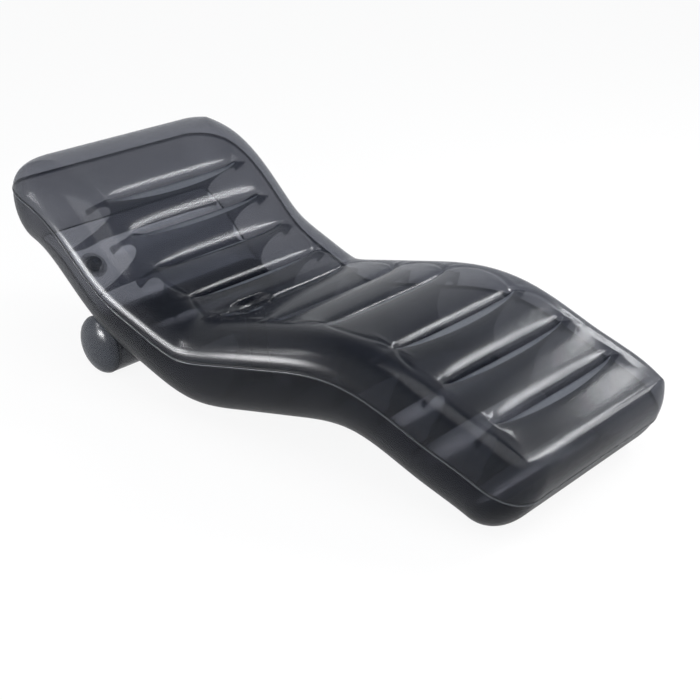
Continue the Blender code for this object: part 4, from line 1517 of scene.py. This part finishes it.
@dataclass(frozen=True)
class ValveSizes:
    """Sizes of one valve, in metres; its axis points out of the chamber from the film's outer face."""

    hole_radius: float
    inner_flange_radius: float
    outer_flange_radius: float
    flange_thickness: float
    collar_wall: float
    collar_height: float
    insert_depth: float
    rim_width: float
    rim_thickness: float
    seat_radius: float
    seat_depth: float
    seat_taper: float
    cap_radius: float
    cap_thickness: float
    flap_radius: float
    flap_thickness: float
    strap_width: float
    strap_thickness: float
    sides: int
    bevel: float


MAIN_VALVE = ValveSizes(
    hole_radius=0.0240, inner_flange_radius=0.0420, outer_flange_radius=0.0320, flange_thickness=0.0014,
    collar_wall=0.0042, collar_height=0.0030, insert_depth=0.0180, rim_width=0.0030, rim_thickness=0.0020,
    seat_radius=0.0115, seat_depth=0.0060, seat_taper=0.0025, cap_radius=0.0165, cap_thickness=0.0020,
    flap_radius=0.0125, flap_thickness=0.0008, strap_width=0.0080, strap_thickness=0.0012, sides=72,
    bevel=0.0004)
BOLSTER_VALVE = ValveSizes(
    hole_radius=0.0100, inner_flange_radius=0.0170, outer_flange_radius=0.0150, flange_thickness=0.0010,
    collar_wall=0.0020, collar_height=0.0022, insert_depth=0.0110, rim_width=0.0016, rim_thickness=0.0014,
    seat_radius=0.0050, seat_depth=0.0042, seat_taper=0.0014, cap_radius=0.0074, cap_thickness=0.0014,
    flap_radius=0.0058, flap_thickness=0.0006, strap_width=0.0044, strap_thickness=0.0009, sides=48,
    bevel=0.0002)


class RibTree:
    """A geometry node tree that sets grip ribs round a cap's edge."""

    def __init__(self, finish: bpy.types.Material) -> None:
        """Build the tree.

        Args:
            finish: the ribs' material.
        """
        tree = bpy.data.node_groups.new("grip_ribs", "GeometryNodeTree")
        tree.interface.new_socket("Base", in_out="INPUT", socket_type="NodeSocketGeometry")
        count = tree.interface.new_socket("Rib Count", in_out="INPUT", socket_type="NodeSocketInt")
        count.default_value = 24
        for name, value in (("Ring Radius", 0.016), ("Rib Radius", 0.0006), ("Rib Height", 0.0016)):
            socket = tree.interface.new_socket(name, in_out="INPUT", socket_type="NodeSocketFloat")
            socket.default_value = value
        tree.interface.new_socket("Ribs", in_out="OUTPUT", socket_type="NodeSocketGeometry")
        source = add_node(tree, "NodeGroupInput")
        ring = add_node(tree, "GeometryNodeCurvePrimitiveCircle", {
            "Resolution": source.outputs["Rib Count"], "Radius": source.outputs["Ring Radius"]})
        rib = add_node(tree, "GeometryNodeMeshCylinder", {
            "Vertices": 8, "Radius": source.outputs["Rib Radius"], "Depth": source.outputs["Rib Height"]})
        spread = add_node(tree, "GeometryNodeInstanceOnPoints", {
            "Points": ring.outputs["Curve"], "Instance": rib.outputs["Mesh"]})
        real = add_node(tree, "GeometryNodeRealizeInstances", {0: spread.outputs[0]})
        made = add_node(tree, "GeometryNodeSetMaterial", {"Geometry": real.outputs[0], "Material": finish})
        add_node(tree, "NodeGroupOutput", {0: made.outputs[0]})
        self.tree = tree
        self.finish = finish


class Valve:
    """A two-part air valve: welded flange, plug-in body with a check flap, and a cap on its strap."""

    # Shares of the cap's radius and thickness, and its count of grip ribs
    dish_share = 0.72
    dish_floor_share = 0.93
    dish_depth_share = 0.25
    rib_radius_share = 0.035
    rib_height_share = 0.3
    rib_count = 28

    def __init__(self, prefix: str, sizes: ValveSizes, turn: Matrix, grey: bpy.types.Material,
                 smoke: bpy.types.Material, black: bpy.types.Material, ribs: RibTree) -> None:
        """Keep what the valve is made from.

        Args:
            prefix: start of its CAD nodes' names.
            sizes: its sizes.
            turn: its frame, with Z out of the chamber.
            grey: material of the welded parts.
            smoke: material of the plug-in body.
            black: material of the cap and its strap.
            ribs: the tree that makes grip ribs.
        """
        self.prefix, self.sizes, self.turn = prefix, sizes, turn
        self.grey, self.smoke, self.black, self.ribs = grey, smoke, black, ribs

    def build(self, cap_body: Body, flap_body: Body) -> None:
        """Make and dress the valve's pieces.

        Args:
            cap_body: the body that cap and strap ride on.
            flap_body: the body that the check flap rides on.
        """
        z, prefix = self.sizes, self.prefix
        outer = z.hole_radius - GAP
        inner = z.hole_radius - z.collar_wall
        below = -FILM - GAP
        top = GAP + z.flange_thickness
        flange = turned(prefix + "_flange_ring", [
            (inner, below - z.flange_thickness), (z.inner_flange_radius, below - z.flange_thickness),
            (z.inner_flange_radius, below), (outer, below), (outer, GAP), (z.outer_flange_radius, GAP),
            (z.outer_flange_radius, top), (outer, top), (outer, z.collar_height), (inner, z.collar_height),
        ], z.sides, self.turn, min(z.bevel, GAP))
        dress(flange, self.grey, Body.LOUNGE, Slot.VALVE, prefix + "_flange")
        insert = inner - GAP
        rim_low = z.collar_height + GAP
        rim_top = rim_low + z.rim_thickness
        seat_low = rim_top - z.seat_depth
        seat_end = z.seat_radius - z.seat_taper
        body = turned(prefix + "_plug", [
            (seat_end, -z.insert_depth), (insert, -z.insert_depth), (insert, rim_low),
            (insert + z.rim_width, rim_low), (insert + z.rim_width, rim_top), (z.seat_radius, rim_top),
            (seat_end, seat_low)], z.sides, self.turn, z.bevel)
        dress(body, self.smoke, Body.LOUNGE, Slot.BLACK, prefix + "_body")
        flap_low = -z.insert_depth - GAP - z.flap_thickness
        flap = turned(prefix + "_check_flap", [
            (0.0, flap_low), (z.flap_radius, flap_low), (z.flap_radius, flap_low + z.flap_thickness),
            (0.0, flap_low + z.flap_thickness)], z.sides, self.turn, z.flap_thickness / 4)
        dress(flap, self.grey, flap_body, Slot.VALVE, prefix + "_flap")
        self.build_cap(cap_body, rim_top, seat_low, seat_end)

    def build_cap(self, body: Body, rim_top: float, seat_low: float, seat_end: float) -> None:
        """The cap with its plug, its grip ribs and its strap.

        Args:
            body: the body that they ride on.
            rim_top: height of the valve's rim.
            seat_low: height of the seat's floor.
            seat_end: radius of the seat's floor.
        """
        z, prefix = self.sizes, self.prefix
        low = rim_top + GAP
        top = low + z.cap_thickness
        dish = z.cap_radius * self.dish_share
        dish_low = top - z.cap_thickness * self.dish_depth_share
        cap = turned(prefix + "_cap_disc", [
            (0.0, seat_low + GAP), (seat_end - GAP, seat_low + GAP), (z.seat_radius - GAP, low),
            (z.cap_radius, low), (z.cap_radius, top), (dish, top), (dish * self.dish_floor_share, dish_low),
            (0.0, dish_low)], z.sides, self.turn, z.bevel / 2)
        dress(cap, self.black, body, Slot.BLACK, prefix + "_cap")
        seed = bpy.data.objects.new(prefix + "_rib_seed", bpy.data.meshes.new(prefix + "_rib_seed"))
        bpy.context.scene.collection.objects.link(seed)
        ribs = grow(seed, prefix + "_cap_ribs", self.ribs.tree, {
            "Rib Count": self.rib_count, "Ring Radius": (dish + z.cap_radius) / 2,
            "Rib Radius": z.cap_radius * self.rib_radius_share,
            "Rib Height": z.cap_thickness * self.rib_height_share})
        ribs.data.transform(self.turn @ Matrix.Translation((0.0, 0.0, top)))
        dress(ribs, self.black, body, Slot.BLACK)
        start = z.cap_radius + GAP
        end = z.outer_flange_radius
        foot = GAP + z.flange_thickness + GAP
        low = top - z.strap_thickness
        wide = z.strap_thickness * 2
        outline = [(-start, low), (-start, top), (-end, top), (-end, foot), (-end + wide, foot),
                   (-end + wide, low)]
        upright = self.turn @ Matrix.Rotation(math.radians(90), 4, "X")
        strap = plate(prefix + "_cap_strap", outline, z.strap_width, upright, z.strap_thickness * 0.2)
        dress(strap, self.black, body, Slot.BLACK, prefix + "_strap")


@dataclass(frozen=True)
class Softbox:
    """A studio softbox: where it stands, seen from the object, its size in metres and its power in watts."""

    name: str
    azimuth: float
    elevation: float
    distance: float
    width: float
    height: float
    power: float


class Studio:
    """White floor and backdrop, softboxes and the camera."""

    target = Vector((0.0, 0.0, 0.25))
    softboxes = (
        Softbox("softbox_low_back", 50.0, 29.0, 3.9, 0.7, 1.5, 36.0),
        Softbox("softbox_high_back", 57.5, 38.0, 4.0, 0.9, 1.0, 48.0),
        Softbox("softbox_foot", 74.0, 31.6, 2.4, 0.6, 0.3, 8.5),
        Softbox("softbox_side", -125.0, -1.0, 2.4, 0.46, 0.36, 17.0),
        Softbox("softbox_corner", -132.0, 15.0, 3.9, 0.35, 1.0, 12.0),
        Softbox("softbox_front", -20.0, 66.0, 4.5, 4.0, 4.0, 120.0),
    )
    camera_place = Vector((2.2907, -2.4403, 1.6170))
    camera_yaw = 131.953
    camera_pitch = 23.963
    camera_roll = -0.937
    lens = 67.81
    sensor = 36.0
    floor_size = 60.0
    floor_drop = 0.0006
    glow_share = 0.90
    # Seen through the films, the floor is a darker grey paper without glow, a painted shadow on top of the
    # lounge's own, full to the first distance from its middle and gone at the second
    shade_full = 0.9
    shade_end = 1.3
    # Between these heights of a direction the backdrop's reflection turns from pale to grey
    climb_start = 0.45
    climb_end = 0.95

    def build(self) -> None:
        """Make the whole set."""
        self.build_floor()
        self.build_world()
        for box in self.softboxes:
            self.build_light(box)
        self.build_camera()
        bpy.context.scene.view_settings.view_transform = "Standard"

    def build_floor(self) -> None:
        """A wide white floor that keeps a soft shadow, with a painted shadow under the lounge where it is
        seen through the films.
        """
        corners = [(x * self.floor_size, y * self.floor_size, -self.floor_drop)
                   for x, y in ((-1, -1), (1, -1), (1, 1), (-1, 1))]
        item = mesh_object("studio_floor", corners, [(0, 1, 2, 3)])
        material = bpy.data.materials.new("white_studio_paper")
        material.use_nodes = True
        tree = material.node_tree
        tree.nodes.remove(tree.nodes["Principled BSDF"])
        seen = self.seen_socket(tree)
        shadow = self.shadow_socket(tree)
        # Paper seen through the films near the lounge turns darker grey: painted shadow
        tone = add_node(tree, "ShaderNodeMix", {
            "Factor": shadow, "A": linear("F4F4F4"), "B": linear("8C8C8E")}, data_type="RGBA")
        paper = add_node(tree, "ShaderNodeBsdfDiffuse", {"Color": tone.outputs["Result"]})
        glow = add_node(tree, "ShaderNodeEmission", {"Color": linear("FFFFFF"), "Strength": 1.0})
        bright = add_node(tree, "ShaderNodeMath", {0: seen, 1: self.glow_share}, operation="MULTIPLY")
        open_floor = add_node(tree, "ShaderNodeMath", {0: 1.0, 1: shadow}, operation="SUBTRACT")
        share = add_node(tree, "ShaderNodeMath", {0: bright.outputs[0], 1: open_floor.outputs[0]},
                         operation="MULTIPLY")
        both = add_node(tree, "ShaderNodeMixShader", {
            0: share.outputs[0], 1: paper.outputs[0], 2: glow.outputs[0]})
        tree.links.new(both.outputs[0], tree.nodes["Material Output"].inputs["Surface"])
        item.data.materials.append(material)

    def shadow_socket(self, tree: bpy.types.NodeTree) -> bpy.types.NodeSocket:
        """Find the rays that reach the floor under the lounge through its films.

        Args:
            tree: the floor's node tree.

        Returns:
            1 for such rays, which show the paper with the lounge's shadow and a darker grey, a painted
            shadow, and 0 for others.
        """
        depth = add_node(tree, "ShaderNodeLightPath").outputs["Transparent Depth"]
        through = add_node(tree, "ShaderNodeMath", {0: depth, 1: 0.5}, operation="GREATER_THAN")
        place = add_node(tree, "ShaderNodeTexCoord").outputs["Object"]
        away = add_node(tree, "ShaderNodeVectorMath", {0: place}, operation="LENGTH")
        close = add_node(tree, "ShaderNodeMapRange", {
            "Value": away.outputs["Value"], "From Min": self.shade_full, "From Max": self.shade_end,
            "To Min": 1.0, "To Max": 0.0})
        both = add_node(tree, "ShaderNodeMath", {0: through.outputs[0], 1: close.outputs[0]},
                        operation="MULTIPLY")
        return both.outputs[0]

    @staticmethod
    def seen_socket(tree: bpy.types.NodeTree) -> bpy.types.NodeSocket:
        """Find the rays that show the floor directly, in a gloss or through a film.

        Args:
            tree: the floor's node tree.

        Returns:
            1 for such rays and 0 for others.
        """
        path = add_node(tree, "ShaderNodeLightPath").outputs
        first = add_node(tree, "ShaderNodeMath", {0: path["Is Camera Ray"], 1: path["Is Glossy Ray"]},
                         operation="MAXIMUM")
        second = add_node(tree, "ShaderNodeMath", {0: first.outputs[0], 1: path["Is Transmission Ray"]},
                          operation="MAXIMUM")
        return second.outputs[0]

    def build_world(self) -> None:
        """A backdrop that is white to the camera, pale at the horizon and grey above for reflections."""
        world = bpy.data.worlds.new("studio_backdrop")
        world.use_nodes = True
        bpy.context.scene.world = world
        tree = world.node_tree
        path = add_node(tree, "ShaderNodeLightPath")
        direction = add_node(tree, "ShaderNodeTexCoord").outputs["Generated"]
        parts = add_node(tree, "ShaderNodeSeparateXYZ", {0: direction})
        climb = add_node(tree, "ShaderNodeMapRange", {
            "Value": parts.outputs["Z"], "From Min": self.climb_start, "From Max": self.climb_end},
            interpolation_type="SMOOTHSTEP")
        sky = add_node(tree, "ShaderNodeMix", {
            "Factor": climb.outputs[0], "A": linear("F2F4F6"), "B": linear("8C9095")}, data_type="RGBA")
        shown = add_node(tree, "ShaderNodeMix", {
            "Factor": path.outputs["Is Camera Ray"], "A": sky.outputs["Result"], "B": linear("FFFFFF")},
            data_type="RGBA")
        light = tree.nodes["Background"]
        tree.links.new(shown.outputs["Result"], light.inputs["Color"])
        light.inputs["Strength"].default_value = 1.0

    def build_light(self, box: Softbox) -> None:
        """Set up one softbox, turned to the object.

        Args:
            box: its place and size.
        """
        turn, rise = math.radians(box.azimuth), math.radians(box.elevation)
        away = Vector((math.cos(turn) * math.cos(rise), math.sin(turn) * math.cos(rise), math.sin(rise)))
        data = bpy.data.lights.new(box.name, "AREA")
        data.shape = "RECTANGLE"
        data.size, data.size_y = box.width, box.height
        data.energy = box.power
        item = bpy.data.objects.new(box.name, data)
        item.location = self.target + away * box.distance
        item.rotation_euler = (-away).to_track_quat("-Z", "Y").to_euler()
        bpy.context.scene.collection.objects.link(item)

    def build_camera(self) -> None:
        """Set the camera at the photograph's place."""
        yaw, pitch = math.radians(self.camera_yaw), math.radians(self.camera_pitch)
        ahead = Vector((math.cos(yaw) * math.cos(pitch), math.sin(yaw) * math.cos(pitch), -math.sin(pitch)))
        level = Vector((math.sin(yaw), -math.cos(yaw), 0.0))
        right = Matrix.Rotation(math.radians(-self.camera_roll), 3, ahead) @ level
        data = bpy.data.cameras.new("camera")
        data.lens = self.lens
        data.sensor_width = self.sensor
        item = bpy.data.objects.new("camera", data)
        item.location = self.camera_place
        item.rotation_euler = Matrix((right, right.cross(ahead), -ahead)).transposed().to_euler()
        bpy.context.scene.collection.objects.link(item)
        bpy.context.scene.camera = item


def main() -> None:
    """Build the set and the lounge, and report each piece."""
    logging.basicConfig(level=logging.INFO, format="%(name)s %(message)s")
    Studio().build()
    film, web_film, bolster_film = OUTER_FILM.build(), WEB_FILM.build(), BOLSTER_FILM.build()
    grey, smoke, black = CLEAR_VINYL.build(), SMOKE_VINYL.build(), BLACK_VINYL.build()
    beads, dark_welds_and_shadow, ribs = BeadTree(PAINTED_HIGHLIGHT_WELD.build()), BeadTree(DARK_WELD_AND_SHADOW.build()), RibTree(black)
    chamber = Chamber(ChamberSizes(), BolsterSizes())
    skin = Skin(chamber)
    ChamberShell(chamber, skin, film, SHADED_BAND_FILM.build(), SHADED_DRAIN_FILM.build(), beads, dark_welds_and_shadow).build()
    InnerWebs(chamber, skin, web_film, SHEEN_FLANGE_FILM.build()).build()
    Bolster(chamber, bolster_film, web_film, dark_welds_and_shadow).build()
    origin, direction, outward = chamber.flat_frame(chamber.valve_s, chamber.sizes.valve_flat_radius * 2,
                                                    chamber.valve_y)
    turn = frame_from(origin, direction, outward.cross(direction), outward)
    main_valve = Valve("main_valve", MAIN_VALVE, turn, grey, smoke, black, ribs)
    main_valve.build(Body.MAIN_CAP, Body.MAIN_FLAP)
    centre = chamber.bolster_centre(chamber.bolster_s)
    pole = Vector((centre.x, chamber.bolster.length / 2, centre.z))
    down, out = Vector((0.0, 0.0, -1.0)), Vector((0.0, 1.0, 0.0))
    turn = frame_from(pole, down, out.cross(down), out)
    bolster_valve = Valve("bolster_valve", BOLSTER_VALVE, turn, grey, smoke, black, ribs)
    bolster_valve.build(Body.BOLSTER_CAP, Body.BOLSTER_FLAP)


if __name__ == "__main__":
    main()
